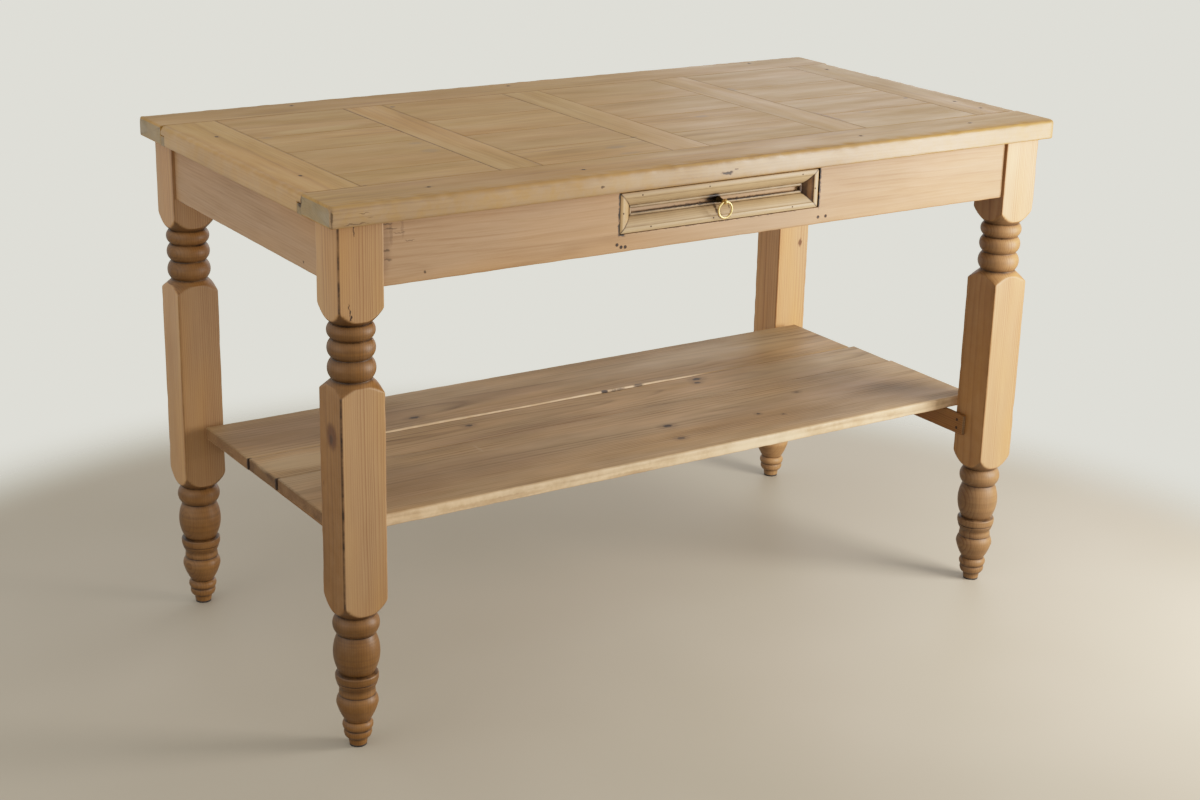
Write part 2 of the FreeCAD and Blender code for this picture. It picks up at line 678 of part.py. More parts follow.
node("drawer_bottom", groove("drawer_bottom_panel", "joint_clearance"))


# Mitred mouldings round the drawer's front
def moulding_section():
    """The moulding's section as a flat face: Y is the distance in from the outer edge and Z the
    depth behind the moulding's face."""
    wide = size("moulding_width")
    deep = size("moulding_thickness")
    edges = []
    point = Vector()
    for kind, *shares in MOULDING_OUTLINE_SHARES:
        points = [Vector(0, across * wide, back * deep) for across, back in shares]
        point = add_stretch(edges, point, kind, points)
    return Part.Face(Part.Wire(edges))


FACE_OUT = Rotation(Vector(0, 1, 1), 180)
DRAWER_LEFT = f"({DRAWER_X} - drawer_width / 2)"
DRAWER_RIGHT = f"({DRAWER_X} + drawer_width / 2)"
DRAWER_TOP = f"({DRAWER_BOTTOM} + drawer_height)"
# Each moulding's length and the corner that it starts from, a quarter turn on from the last
MOULDINGS = {
    "bottom": ("drawer_width", DRAWER_RIGHT, DRAWER_BOTTOM),
    "left": ("drawer_height", DRAWER_LEFT, DRAWER_BOTTOM),
    "top": ("drawer_width", DRAWER_LEFT, DRAWER_TOP),
    "right": ("drawer_height", DRAWER_RIGHT, DRAWER_TOP),
}
for quarter, (side, (length, x, z)) in enumerate(MOULDINGS.items()):
    rotation = Rotation(Vector(0, 1, 0), 90 * quarter) * FACE_OUT
    section = doc.addObject("Part::Feature", f"{side}_moulding_section")
    section.Shape = moulding_section()
    place(section, x, APRON_FACE_Y, z, rotation)
    strip = doc.addObject("Part::Extrusion", f"{side}_moulding_strip")
    strip.Base = section
    strip.DirMode = "Custom"
    strip.Dir = rotation.multVec(Vector(1, 0, 0))
    strip.Solid = True
    strip.setExpression("LengthFwd", bound(length))
    mitres = doc.addObject("Part::Wedge", f"{side}_moulding_mitres")
    for name, text in (("Xmin", "0"), ("Xmax", length), ("Ymin", "0"), ("Ymax", "moulding_width"),
                       ("Zmin", "0"), ("Zmax", "moulding_thickness"), ("X2min", "moulding_width"),
                       ("X2max", f"{length} - moulding_width"), ("Z2min", "0"),
                       ("Z2max", "moulding_thickness")):
        mitres.setExpression(name, bound(text))
    place(mitres, x, APRON_FACE_Y, z, rotation)
    mitred = common(f"{side}_moulding_mitred", strip, mitres)
    node(f"drawer_moulding_{side}", cut(f"{side}_moulding_cut", mitred, brad_holes))

# Ring pull: a threaded post with an eye, a nut behind the drawer's front, and the ring
OUTWARD = Vector(0, -1, 0)
EYE_Y = f"({APRON_FACE_Y} - pull_reach)"
NUT_Y = f"({BOARD_BACK_Y} + nut_thickness)"
shank = cylinder("pull_shank", DRAWER_X, f"{NUT_Y} + nut_thickness / 2", PULL_Z, "shank_radius",
                 "drawer_front_thickness + 1.5 * nut_thickness + joint_clearance", OUTWARD)
stem = cylinder("pull_stem", DRAWER_X, BOARD_FACE_Y, PULL_Z, "stem_radius", "collar_standoff", OUTWARD)
collar = cylinder("pull_collar", DRAWER_X, f"{BOARD_FACE_Y} - collar_standoff", PULL_Z,
                  "collar_radius", "collar_thickness", OUTWARD)
neck = cylinder("pull_neck", DRAWER_X, f"{BOARD_FACE_Y} - collar_standoff", PULL_Z, "neck_radius",
                "(moulding_thickness + pull_reach - collar_standoff - eye_radius / 2)", OUTWARD)
ACROSS = Vector(1, 0, 0)
eye = cylinder("pull_eye", f"{DRAWER_X} - eye_width / 2", EYE_Y, PULL_Z, "eye_radius", "eye_width", ACROSS)
eye_hole = cylinder("pull_eye_hole", f"{DRAWER_X} - eye_width / 2 - overrun", EYE_Y, PULL_Z,
                    "eye_hole_radius", "eye_width + 2 * overrun", ACROSS)
post = fuse("pull_post_blank", [shank, stem, collar, neck, eye])
node("pull_post", cut("pull_post_cut", post, [eye_hole]))

hexagon = doc.addObject("Part::Prism", "nut_hexagon")
hexagon.Polygon = 6
hexagon.setExpression("Circumradius", bound("nut_radius"))
hexagon.setExpression("Height", bound("nut_thickness"))
place(hexagon, DRAWER_X, BOARD_BACK_Y, PULL_Z, Rotation(Vector(0, 0, 1), INWARD))
nut_hole = cylinder("nut_hole", DRAWER_X, f"{BOARD_BACK_Y} - overrun", PULL_Z,
                    "shank_radius + joint_clearance", "nut_thickness + 2 * overrun", INWARD)
node("pull_nut", cut("pull_nut_cut", hexagon, [nut_hole]))

ring = doc.addObject("Part::Torus", "ring")
ring.setExpression("Radius1", bound("ring_radius"))
ring.setExpression("Radius2", bound("ring_wire_radius"))
place(ring, DRAWER_X, EYE_Y, f"{PULL_Z} - ring_radius", Rotation(Vector(1, 0, 0), 90))
node("pull_ring", ring)

# Shelf boards, side by side from back to front, and the bearers that carry them
SHELF_EDGE = f"({LEG_Y} - leg_side / 2 - shelf_leg_clearance)"
shelf_widths = {
    "back": "shelf_back_width",
    "middle": "shelf_middle_width",
    "front": f"(2 * {SHELF_EDGE} - shelf_back_width - shelf_middle_width - 2 * shelf_seam_gap)",
}
edge_line = SHELF_EDGE
for part_name, width in shelf_widths.items():
    left = f"({LONG_APRON_LENGTH} / 2 + shelf_{part_name}_left_overhang)"
    right = f"({LONG_APRON_LENGTH} / 2 + shelf_{part_name}_right_overhang)"
    node(f"shelf_{part_name}_board", block(
        f"{part_name}_shelf", f"({right} - {left}) / 2", f"{edge_line} - {width} / 2", SHELF_UNDERSIDE,
        f"({right} + {left})", width, "shelf_thickness"))
    edge_line = f"({edge_line} - {width} - shelf_seam_gap)"
for side, sign in SIDE_SHARES.items():
    bearer = block(f"{side}_bearer", f"{sign} * ({BEARER_X} + bearer_thickness / 2)", "0",
                   f"{SHELF_UNDERSIDE} - bearer_height", "bearer_thickness",
                   f"{END_APRON_LENGTH} + 2 * bearer_overlap", "bearer_height")
    node(f"{side}_shelf_bearer", cut(f"{side}_bearer_cut", bearer, bearer_holes[side]))
node("bearer_nails", group("bearer_nails_group", bearer_nails["left"] + bearer_nails["right"]))

doc.recompute()

faults = [thing.Name for thing in doc.Objects if "Invalid" in thing.State or "Error" in thing.State]
for piece in nodes:
    if piece.Shape.isNull() or not piece.Shape.isValid() or not piece.Shape.Solids:
        faults.append(piece.Label)
if faults:
    raise RuntimeError(f"These objects failed: {faults}")

os.makedirs("parts", exist_ok=True)
for piece in nodes:
    piece.Shape.exportStep(f"parts/{piece.Label}.step")
solids = sum(len(piece.Shape.Solids) for piece in nodes)
print(f"{len(nodes)} nodes, {solids} solids")
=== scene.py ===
# %% [markdown]
# A farmhouse table of reclaimed pine, dressed for its picture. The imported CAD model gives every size.
# This script builds finer wooden pieces in the same places with numpy, gives each surface a procedural
# finish, and sets up the floor, the light and the camera.

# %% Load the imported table
import math
import bpy
import numpy as np
from mathutils import Matrix, Vector


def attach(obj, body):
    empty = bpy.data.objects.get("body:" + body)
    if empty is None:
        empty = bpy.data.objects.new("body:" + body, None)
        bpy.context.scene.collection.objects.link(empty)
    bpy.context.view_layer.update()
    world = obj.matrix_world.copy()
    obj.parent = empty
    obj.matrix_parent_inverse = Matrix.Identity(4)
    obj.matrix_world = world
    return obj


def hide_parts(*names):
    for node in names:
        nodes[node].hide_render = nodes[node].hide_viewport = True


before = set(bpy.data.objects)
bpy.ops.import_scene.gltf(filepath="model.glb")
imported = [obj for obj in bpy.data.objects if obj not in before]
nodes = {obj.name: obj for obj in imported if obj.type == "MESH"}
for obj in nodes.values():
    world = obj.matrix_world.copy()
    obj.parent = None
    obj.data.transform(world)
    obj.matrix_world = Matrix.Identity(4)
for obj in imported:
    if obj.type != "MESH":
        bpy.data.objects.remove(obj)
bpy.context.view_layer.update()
MM = 0.001

# %% [markdown]
# The camera is a plain one with a short telephoto lens, standing to the left of the drawer side and
# looking down. Its place was solved from the table's own edges in the photograph, so the render has the
# same view.

# %% Camera
YAW, PITCH, ROLL = (math.radians(v) for v in (33.226, 18.930, 1.343))
CAMERA_PLACE = (-1.7407, -2.6571, 1.4244)
LENS, SENSOR = 61.785, 36
forward = Vector((math.sin(YAW) * math.cos(PITCH), math.cos(YAW) * math.cos(PITCH), -math.sin(PITCH)))
level = Vector((math.cos(YAW), -math.sin(YAW), 0))
upward = level.cross(forward)
columns = (math.cos(ROLL) * level + math.sin(ROLL) * upward,
           math.cos(ROLL) * upward - math.sin(ROLL) * level, -forward)
camera = bpy.data.objects.new("camera", bpy.data.cameras.new("camera"))
bpy.context.scene.collection.objects.link(camera)
camera.data.lens, camera.data.sensor_width = LENS, SENSOR
camera.matrix_world = Matrix.Translation(CAMERA_PLACE) @ Matrix(columns).transposed().to_4x4()
bpy.context.scene.camera = camera
print("camera at", CAMERA_PLACE, "with a", LENS, "mm lens")

# %% [markdown]
# A photograph answers to light as film does: highlights bend over softly instead of clipping, and lose
# some colour. The curve below is that answer, 1 - exp(-light), laid over the plain Standard view.

# %% Film-like response
WHITE = 4.0
LIGHT_STEPS = (0, 0.05, 0.12, 0.25, 0.4, 0.6, 0.9, 1.3, 1.8, 2.6, WHITE)
view = bpy.context.scene.view_settings
view.view_transform = "Standard"
view.use_curve_mapping = True
view.curve_mapping.white_level = (WHITE, WHITE, WHITE)
film = view.curve_mapping.curves[3]
while len(film.points) < len(LIGHT_STEPS):
    film.points.new(0.5, 0.5)
for point, light in zip(film.points, LIGHT_STEPS):
    point.location = (light / WHITE, 1 - math.exp(-light))
view.curve_mapping.update()
print("film curve points:", len(film.points))

# %% [markdown]
# A mesh is points and faces. Each wooden piece here is one or more closed shells: a grid of points, rows
# along the piece and columns round it, with a cap at each end. A primitive with modifiers would be
# quicker to make, but a grid knows where each of its points lies on the board, and the finish needs that.

# %% Faces of a shell
def grid_faces(rows, cols, ring=False):
    """Face (i, j), (i, j+1), (i+1, j+1), (i+1, j). The last column joins the first; a ring's last row too."""
    i, j = np.meshgrid(np.arange(rows if ring else rows - 1), np.arange(cols), indexing="ij")
    below, beside = (i + 1) % rows, (j + 1) % cols
    corners = (i * cols + j, i * cols + beside, below * cols + beside, below * cols + j)
    return np.stack(corners, -1).reshape(-1, 4)


def cap_faces(first, pole, cols):
    """A fan of triangles from one ring to its pole, written as quads whose last corner repeats."""
    j = np.arange(cols)
    return np.stack([first + (j + 1) % cols, first + j, np.full(cols, pole), np.full(cols, pole)], -1)


def face_outwards(flat, faces):
    """Turns the faces round if their volume, the sum of (a x b).c + (a x c).d, is below zero."""
    a, b, c, d = (flat[faces[:, n]] for n in range(4))
    if (np.cross(a, b) * c).sum() + (np.cross(a, c) * d).sum() >= 0:
        return faces
    triangles = (faces[:, 2] == faces[:, 3])[:, None]
    return np.where(triangles, faces[:, [1, 0, 2, 3]], faces[:, ::-1])


print("3 rings of 8 points:", len(grid_faces(3, 8)), "side faces and", len(cap_faces(0, 24, 8)), "in a cap")

# %% [markdown]
# Every point carries two notes for the finish: "grain", its place in the board's own wood, and "finish",
# four numbers: joint dirt, which also carries painted shade in the legs' hollows and the mouldings' quirks,
# tone (0.5 changes nothing), which on the legs also carries painted light, rub, which on the mouldings also
# carries a painted highlight, and end grain or stain. They are kept beside the points and become
# attributes of the mesh.

# %% Closed shells and pieces
NOTES = 7
SHARP_FROM = math.radians(50)


def close_tube(points, notes):
    """Closes a (rows, columns, 3) tube with a pole in the middle of each end. Notes are kept alike."""
    rows, cols = points.shape[:2]
    flat = np.concatenate([points.reshape(-1, 3), points[:1].mean(1), points[-1:].mean(1)])
    told = np.concatenate([notes.reshape(rows * cols, -1), notes[:1].mean(1), notes[-1:].mean(1)])
    far_cap = cap_faces((rows - 1) * cols, rows * cols + 1, cols)[:, [1, 0, 2, 3]]
    faces = np.concatenate([grid_faces(rows, cols), cap_faces(0, rows * cols, cols), far_cap])
    return flat, face_outwards(flat, faces), told


def close_ring(points):
    """Closes a (rows, columns, 3) grid both ways. Metal needs no notes, so they are all nought."""
    flat = points.reshape(-1, 3)
    return flat, face_outwards(flat, grid_faces(*points.shape[:2], ring=True)), np.zeros((len(flat), NOTES))


def make_piece(node, stuff, shells, body):
    """Puts closed shells, given in millimetres, into one mesh in metres that stands for a CAD node."""
    offsets = np.cumsum([0] + [len(s[0]) for s in shells[:-1]])
    points = np.concatenate([s[0] for s in shells]) * MM
    faces = np.concatenate([s[1] + o for s, o in zip(shells, offsets)])
    told = np.concatenate([s[2] for s in shells]).astype(np.float32)
    corners = np.where(faces[:, 2] == faces[:, 3], 3, 4)
    loops = faces[np.arange(4)[None, :] < corners[:, None]]
    name = f"{node}_{stuff}"
    mesh = bpy.data.meshes.new(name)
    mesh.vertices.add(len(points))
    mesh.vertices.foreach_set("co", points.astype(np.float32).ravel())
    mesh.loops.add(len(loops))
    mesh.loops.foreach_set("vertex_index", loops.astype(np.int32))
    mesh.polygons.add(len(faces))
    mesh.polygons.foreach_set("loop_start", (np.cumsum(corners) - corners).astype(np.int32))
    mesh.polygons.foreach_set("use_smooth", np.ones(len(faces), bool))
    mesh.update()
    mesh.validate()
    mesh.set_sharp_from_angle(angle=SHARP_FROM)
    mesh.attributes.new("grain", "FLOAT_VECTOR", "POINT").data.foreach_set("vector", told[:, :3].ravel())
    mesh.attributes.new("finish", "FLOAT_COLOR", "POINT").data.foreach_set("color", told[:, 3:].ravel())
    made = bpy.data.objects.new(name, mesh)
    bpy.context.scene.collection.objects.link(made)
    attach(made, body)
    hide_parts(node)
    print(f"{name}: {len(shells)} shells, {int((corners - 2).sum())} triangles")


print("notes beside each point:", NOTES)

# %% [markdown]
# Old wood is nowhere quite straight. A sum of plane waves is a smooth random field that numpy works out
# at once for all points, and it is the same in each run because its seed is.

# %% Soft noise
def soft_noise(points, size, seed, waves=20):
    """0.5 + 0.4 * sum(sin(k.p + phase)) / sqrt(waves), held from 0 to 1, with waves about `size` mm long."""
    rng = np.random.default_rng(seed)
    heading = rng.normal(size=(waves, 3))
    heading *= (2 * np.pi / size * rng.uniform(0.6, 1.5, waves) / np.linalg.norm(heading, axis=1))[:, None]
    total = np.sin(points @ heading.T + rng.uniform(0, 2 * np.pi, waves)).sum(-1) / math.sqrt(waves)
    return np.clip(0.5 + 0.4 * total, 0, 1)


print("soft noise at the origin:", round(float(soft_noise(np.zeros((1, 3)), 50, 1)[0]), 3))

# %% [markdown]
# A sawn board is a long bar with a rectangular section. Planing and years of hands round its edges: a lot
# on the outer edge of the top, hardly at all in a joint. A box with a Bevel would round all edges alike,
# so the board is instead a section carried along its length, with its own radius at each corner and its
# own limits on each stretch.

# %% Boards: the section
GUARD = 2.5
SQUARE = 0.01
CORNER_STEPS = 5


def section(radii, sides):
    """Columns of a rounded rectangle, starting at its low-low corner and going round. Each column is a share
    of the width and of the thickness plus an offset in mm, the corner it belongs to (-1 on a flat side), and
    how far round it is in sides: 2.5 is half way round the corner between flat sides 2 and 3, and 2 is
    anywhere on flat side 2."""
    corners = ((0, 0, 180), (1, 0, 270), (1, 1, 0), (0, 1, 90))
    rows = []
    for n, (share_b, share_c, turn) in enumerate(corners):
        r, following = max(radii[n], SQUARE), max(radii[(n + 1) % 4], SQUARE)
        angle = np.radians(turn + np.linspace(0, 90, CORNER_STEPS))
        out_b, out_c = 2 * share_b - 1, 2 * share_c - 1
        for a in angle:
            rows.append((share_b, share_c, r * math.cos(a) - r * out_b, r * math.sin(a) - r * out_c, n,
                         n - 1 + (a - angle[0]) / (angle[-1] - angle[0])))
        next_b, next_c = corners[(n + 1) % 4][:2]
        for t in np.linspace(0, 1, sides[n % 2]):
            inset = (r + GUARD) * (1 - t) - (following + GUARD) * t
            rows.append((share_b + (next_b - share_b) * t, share_c + (next_c - share_c) * t,
                         inset * (next_b - share_b), inset * (next_c - share_c), -1, n))
    return np.array(rows)


print("section of a board: columns", len(section((1, 1, 1, 1), (7, 3))))

# %% Boards: the rows along
END_STEPS = (0.06, 0.3, 0.65, 1)


def rows_along(stretches, ends, step):
    """Cross sections (place, low b, high b, low c, high c), every `step` mm and closer on rounded ends."""
    rows = []
    for n, (first, last, *limits) in enumerate(stretches):
        places = list(np.linspace(first, last, max(2, int(math.ceil((last - first) / step)) + 1)))
        if n == 0:
            r = max(ends[0])
            places += [first + r * k for k in END_STEPS] + [first + r + GUARD]
        if n == len(stretches) - 1:
            r = max(ends[1])
            places += [last - r * k for k in END_STEPS] + [last - r - GUARD]
        rows += [(p, *limits) for p in sorted(p for p in places if first <= p <= last)]
    return np.array(rows)


def rounded_limits(rows, ends):
    """The limits, drawn in at a distance s from an end of radius r by r - sqrt(r*r - (r - s)*(r - s))."""
    along, limits = rows[:, 0], rows[:, 1:].copy()
    for n, sign in enumerate((1, -1, 1, -1)):
        for end, s in ((ends[0][n], along - along[0]), (ends[1][n], along[-1] - along)):
            r = max(end, SQUARE)
            limits[:, n] += sign * np.where(s < r, r - np.sqrt(np.maximum(r * r - (r - s) ** 2, 0)), 0)
    return limits


print("rows of a 100 mm board:", len(rows_along([(0, 100, 0, 50, 0, 20)], ((1,) * 4, (1,) * 4), 12)))

# %% [markdown]
# Dirt gathers where boards meet, and hands rub the edges that stand free. Both are noted corner by corner
# and side by side, so a board can be dirty on the edge in a joint and rubbed on its other one.

# %% Boards: dirt and rub
RUB_FADE = 40


def at_corner(cols, weights):
    """The weight of each column's corner, and 0 on the flat sides."""
    corner = cols[:, 4].astype(int)
    return np.where(corner >= 0, np.array(weights)[corner], 0.0)


def joint_dirt(along, cols, ends, seams, end_seams):
    """The larger of the corner's dirt and the end's, which fades out where the end's rounding stops."""
    near = [np.clip(1 - s / (max(end) + GUARD), 0, 1) * dirt
            for s, end, dirt in zip((along - along[0], along[-1] - along), ends, end_seams)]
    return np.maximum(at_corner(cols, seams)[None], np.maximum(*near)[:, None])


def rub(along, cols, worn, rub_sides, rub_reach):
    """The larger of the corner's rub and the flat sides', fading over RUB_FADE mm at both ends of reach."""
    side_rub = np.interp(cols[:, 5], np.arange(-1, 4), [rub_sides[3], *rub_sides])
    reached = np.clip(np.minimum(along - rub_reach[0], rub_reach[1] - along) / RUB_FADE, 0, 1)[:, None]
    return np.maximum(at_corner(cols, worn), side_rub)[None] * reached


print("a rub fades out over", RUB_FADE, "mm")

# %% [markdown]
# A sawn end shows the end grain. The last ring is drawn in towards its middle in four steps, and the new
# rings carry the end-grain note, so the colour changes exactly at the arris.

# %% Boards: end grain
CAP_STEPS = (0.01, 0.2, 0.45, 0.7)
END_GRAIN = 6


def with_ends(points, notes):
    """Adds rings p + (middle - p) * share at both ends of the tube."""
    caps = []
    for end in (0, -1):
        ring, told = points[end], notes[end].copy()
        told[:, END_GRAIN] = 1
        centre, heart = ring.mean(0), told.mean(0)
        caps.append([(ring + (centre - ring) * share, told + (heart - told) * share) for share in CAP_STEPS])
    first, last = caps[0][::-1], caps[1]
    return [np.concatenate([[c[n] for c in first], middle, [c[n] for c in last]])
            for n, middle in enumerate((points, notes))]


print("rings of end grain at each end:", len(CAP_STEPS))

# %% Boards: all together
WEAR_LENGTHS, DENT_LENGTH = (90, 70), 22
NO_DIRT = (0, 0, 0, 0)


def board(stretches, axes, seed, radii=(1,) * 4, ends=((1,) * 4, (1,) * 4), step=12, sides=(7, 3),
          seams=NO_DIRT, end_seams=(0, 0), worn=NO_DIRT, rub_sides=NO_DIRT, tone=0.5, wear=(0.1, 0.1),
          dent=0.0, pith=None, bow=None, rub_reach=(-2000, 2000)):
    """A board as a closed shell, in mm. stretches: (from, to, low b, high b, low c, high c), one by one.
    A point is low + (high - low) * share + offset on each of the section's two axes, moved in towards the
    middle by wear * noise and, at worn corners, by dent * noise. Flat side n follows corner n. pith is the
    place of the log's middle beside the board's own, and the log leans a little."""
    rng = np.random.default_rng(seed)
    cols = section(radii, sides)
    rows = rows_along(stretches, ends, step)
    along, limits = rows[:, 0], rounded_limits(rows, ends)
    b = limits[:, :1] + (limits[:, 1:2] - limits[:, :1]) * cols[:, 0] + cols[:, 2]
    c = limits[:, 2:3] + (limits[:, 3:] - limits[:, 2:3]) * cols[:, 1] + cols[:, 3]
    a = np.repeat(along[:, None], len(cols), 1)
    local = np.stack([a, b, c], -1)
    dents = soft_noise(local, DENT_LENGTH, seed + 5) * dent * at_corner(cols, worn)
    b = b - (2 * cols[:, 0] - 1) * (wear[0] * soft_noise(local, WEAR_LENGTHS[0], seed + 1) + dents)
    c = c - (2 * cols[:, 1] - 1) * (wear[1] * soft_noise(local, WEAR_LENGTHS[1], seed + 2) + dents)
    if bow is not None:
        b, c = bow(a, b, c)
    if pith is None:
        pith = (rng.uniform(-35, 35), rng.choice([-1, 1]) * rng.uniform(35, 80))
    lean = rng.uniform(-0.02, 0.02, 2)
    shift = rng.uniform(-2000, 2000)
    middle = (along[0] + along[-1]) / 2
    pith_b, pith_c = limits[:, :2].mean(1).mean() + pith[0], limits[:, 2:].mean(1).mean() + pith[1]
    grain = np.stack([a + shift, b - pith_b + lean[0] * (a - middle),
                      c - pith_c + lean[1] * (a - middle)], -1)
    points = np.stack([(a, b, c)[axes.index(axis)] for axis in "xyz"], -1)
    finish = (joint_dirt(along, cols, ends, seams, end_seams), tone,
              rub(along, cols, worn, rub_sides, rub_reach), 0)
    notes = np.concatenate([grain * MM, *(np.broadcast_to(part, a.shape)[..., None] for part in finish)], -1)
    return close_tube(*with_ends(points, notes))


print("boards wear in waves of", WEAR_LENGTHS, "mm and dent in waves of", DENT_LENGTH, "mm")

# %% [markdown]
# The two long boards of the top run its whole length, and the end boards sit between them. Each has a lap
# under the boards that it frames; seen from the end, the lap is the step in the end grain. The
# full-thickness bar and the tongue of the lap are two shells of one piece. The outer edge is the one that
# hands have rubbed.

# %% Top: the four outer boards
TOP, UNDER, LAP = 799.85, 770, 785
ARRIS = 6


def facing(side, corners):
    """Four values for a board on the low side (-1), or the same ones mirrored for the high side (1)."""
    return corners if side < 0 else tuple(corners[n] for n in (1, 0, 3, 2))


def outer_board(node, side, axes, seed, stretches, edges, lap_half, ends, seams, rubbed, **look):
    """stretches: (from, to, low c, high c). edges: outer edge, seam and tongue, from the middle."""
    outer, seam, tongue = (side * edge for edge in edges)
    low, high = sorted((outer, seam))
    slab = board([(start, stop, low, high, *thick) for start, stop, *thick in stretches], axes, seed,
                 radii=facing(side, (2, 0.3, 0.7, ARRIS)), ends=ends, step=6, seams=facing(side, seams),
                 worn=facing(side, (0.05, 0, 0, 0.3)), wear=(0.25, 0.1),
                 rub_sides=(0, 0, 0, rubbed) if side < 0 else (0, rubbed, 0, 0), **look)
    low, high = sorted((seam + 2 * side, tongue))
    lap = board([(-lap_half, lap_half, low, high, UNDER + 0.1, LAP)], axes, seed, radii=(0.4,) * 4,
                ends=((0.3,) * 4, (0.3,) * 4), step=60, seams=(0.5,) * 4, tone=0.45)
    make_piece(node, "wood", [slab, lap], "frame")


def end_radii(side, reach):
    """Roundings of a long board's end: `reach` mm on its outer edge, little elsewhere."""
    return (reach, 0.3, 2, 3) if side < 0 else (0.3, reach, 2, 3)


FINE = ((0.6,) * 4, (0.6,) * 4)
for side, node in ((-1, "top_front_board"), (1, "top_back_board")):
    outer_board(node, side, "xyz", 11 + side, [(-635, 635, UNDER, TOP)], (334, 246.2, 232.4), 634.7,
                (end_radii(side, 4), end_radii(side, 9)), (0.3, 0, 0.5, 0.15), 1, tone=0.49, dent=3.0)
for side, node, inner_dirt, tone in ((-1, "top_left_board", 0.9, 0.56), (1, "top_right_board", 0.5, 0.5)):
    outer_board(node, side, "yxz", 21 + side,
                [(-245.8, -232, LAP + 0.2, TOP), (-232, 232, UNDER, TOP), (232, 245.8, LAP + 0.2, TOP)],
                (635, 547.2, 533.4), 231.6, FINE, (0.2, 0, inner_dirt, 0), 0.6,
                end_seams=(0.7, 0.5), tone=tone, dent=2.5)

# %% [markdown]
# Battens and the short boards of the four bays also have an upper and a lower half. The limits of each
# half are measured from the CAD node itself, so the seams stay where the frame has them.

# %% Top: battens and bay boards
def half_limits(node, above):
    """Lowest and highest x and y, in mm, of a node's points in its upper or lower half."""
    points = np.array([v.co for v in nodes[node].data.vertices]) / MM
    points = points[points[:, 2] > LAP + 1] if above else points[points[:, 2] < LAP - 1]
    return points[:, 0].min(), points[:, 0].max(), points[:, 1].min(), points[:, 1].max()


def framed_board(node, along, seed, tone, seams, end_seams):
    """Upper and lower half of one board of the top; along is "x" or "y", the way its grain runs."""
    shells = []
    for above in (True, False):
        x0, x1, y0, y1 = half_limits(node, above)
        span = (x0, x1, y0, y1) if along == "x" else (y0, y1, x0, x1)
        thick = (LAP + 0.1, TOP) if above else (UNDER, LAP)
        shells.append(board([(*span, *thick)], along + ("yz" if along == "x" else "xz"), seed,
                            radii=(0.3, 0.3, 0.7, 0.7) if above else (0.5,) * 4, ends=FINE, step=9,
                            sides=(9, 2), tone=tone, wear=(0.05, 0.12 if above else 0.0),
                            seams=(0, 0, *seams) if above else (0.5,) * 4, end_seams=end_seams))
    make_piece(node, "wood", shells, "frame")


BATTENS = {"left": (0.53, (1, 1)), "middle": (0.53, (0.3, 0.8)), "right": (0.52, (1, 0.3))}
for seed, (place, (tone, seams)) in enumerate(BATTENS.items(), start=31):
    framed_board(f"top_batten_{place}", "y", seed, tone, seams, (0.2, 0.2))
BAYS = {1: (0.25, (0.49, 0.52, 0.495, 0.51)), 2: (0.25, (0.50, 0.52, 0.49, 0.51)),
        3: (0.15, (0.50, 0.49, 0.51, 0.50)), 4: (0.1, (0.49, 0.51, 0.49, 0.50))}
for bay, (dirt, tones) in BAYS.items():
    for row, tone in enumerate(tones, start=1):
        framed_board(f"bay_{bay}_board_{row}", "x", 40 + 4 * bay + row, tone, (dirt, dirt), (0.25, 0.25))

# %% [markdown]
# Each leg is one square post, turned on a lathe at the foot and at the neck. The lathe's outline is
# written as a turner reads it from a pattern, from the floor up: a point (radius, height), or a curve
# given by a point that it passes and the point where it ends. Beads and hollows are arcs of circles.

# %% Legs: the lathe's outline
def through(p, q, r, count=14):
    """Points on the circle through three (radius, height) points, from the first to the last. Its centre u
    lies as far from p as from q and r: the two perpendicular bisectors meet there."""
    (ax, ay), (bx, by), (cx, cy) = p, q, r
    aa, bb, cc = ax * ax + ay * ay, bx * bx + by * by, cx * cx + cy * cy
    d = 2 * (ax * (by - cy) + bx * (cy - ay) + cx * (ay - by))
    ux = (aa * (by - cy) + bb * (cy - ay) + cc * (ay - by)) / d
    uy = (aa * (cx - bx) + bb * (ax - cx) + cc * (bx - ax)) / d
    a0, a1, a2 = (math.atan2(y - uy, x - ux) for x, y in (p, q, r))
    turn = (a2 - a0) % (2 * math.pi)
    if (a1 - a0) % (2 * math.pi) > turn:
        turn -= 2 * math.pi
    angle = a0 + turn * np.linspace(0, 1, count)
    radius = math.hypot(ax - ux, ay - uy)
    return list(zip(ux + radius * np.cos(angle), uy + radius * np.sin(angle)))


def follow(pattern):
    """The outline's points: a plain point is kept, and a pair (pass, end) is an arc from the last point."""
    line = []
    for step in pattern:
        line += through(line[-1], *step)[1:] if isinstance(step[0], tuple) else [step]
    return line


FOOT = [(12.8, 3), (14.2, 12.5), (16.5, 13.1), ((20.2, 20.6), (19.0, 26)), ((22.2, 32.7), (18.0, 40)),
        ((25.5, 54), (29.9, 67.4)), ((29.0, 75), (25.4, 81)), (26.2, 82), (26.1, 85.5), (25.4, 90),
        (25.9, 93), (27.6, 95.6), (26.9, 96.1), (28.2, 96.8), (29.4, 100.8), (28.2, 101.6), (29.9, 102.4),
        ((30.7, 106.2), (30.8, 110.5)), ((30.2, 113.5), (29.4, 114.3)), (24.6, 114.9),
        ((33.4, 147), (26.5, 175.5)), ((33.4, 190.7), (26.5, 205)), ((34, 211.5), (48, 234))]
NECK = [(48, 531.5), ((38, 540), (27, 550)), ((33.4, 565), (26.5, 579.6)), ((33.3, 593.2), (26.8, 606.6)),
        ((33.3, 618), (27.5, 629)), ((34.5, 635.5), (48, 654)), (48, 770)]
LATHE = np.array(follow(FOOT + NECK))
print("lathe outline:", len(LATHE), "points from", LATHE[0, 1], "to", LATHE[-1, 1], "mm")

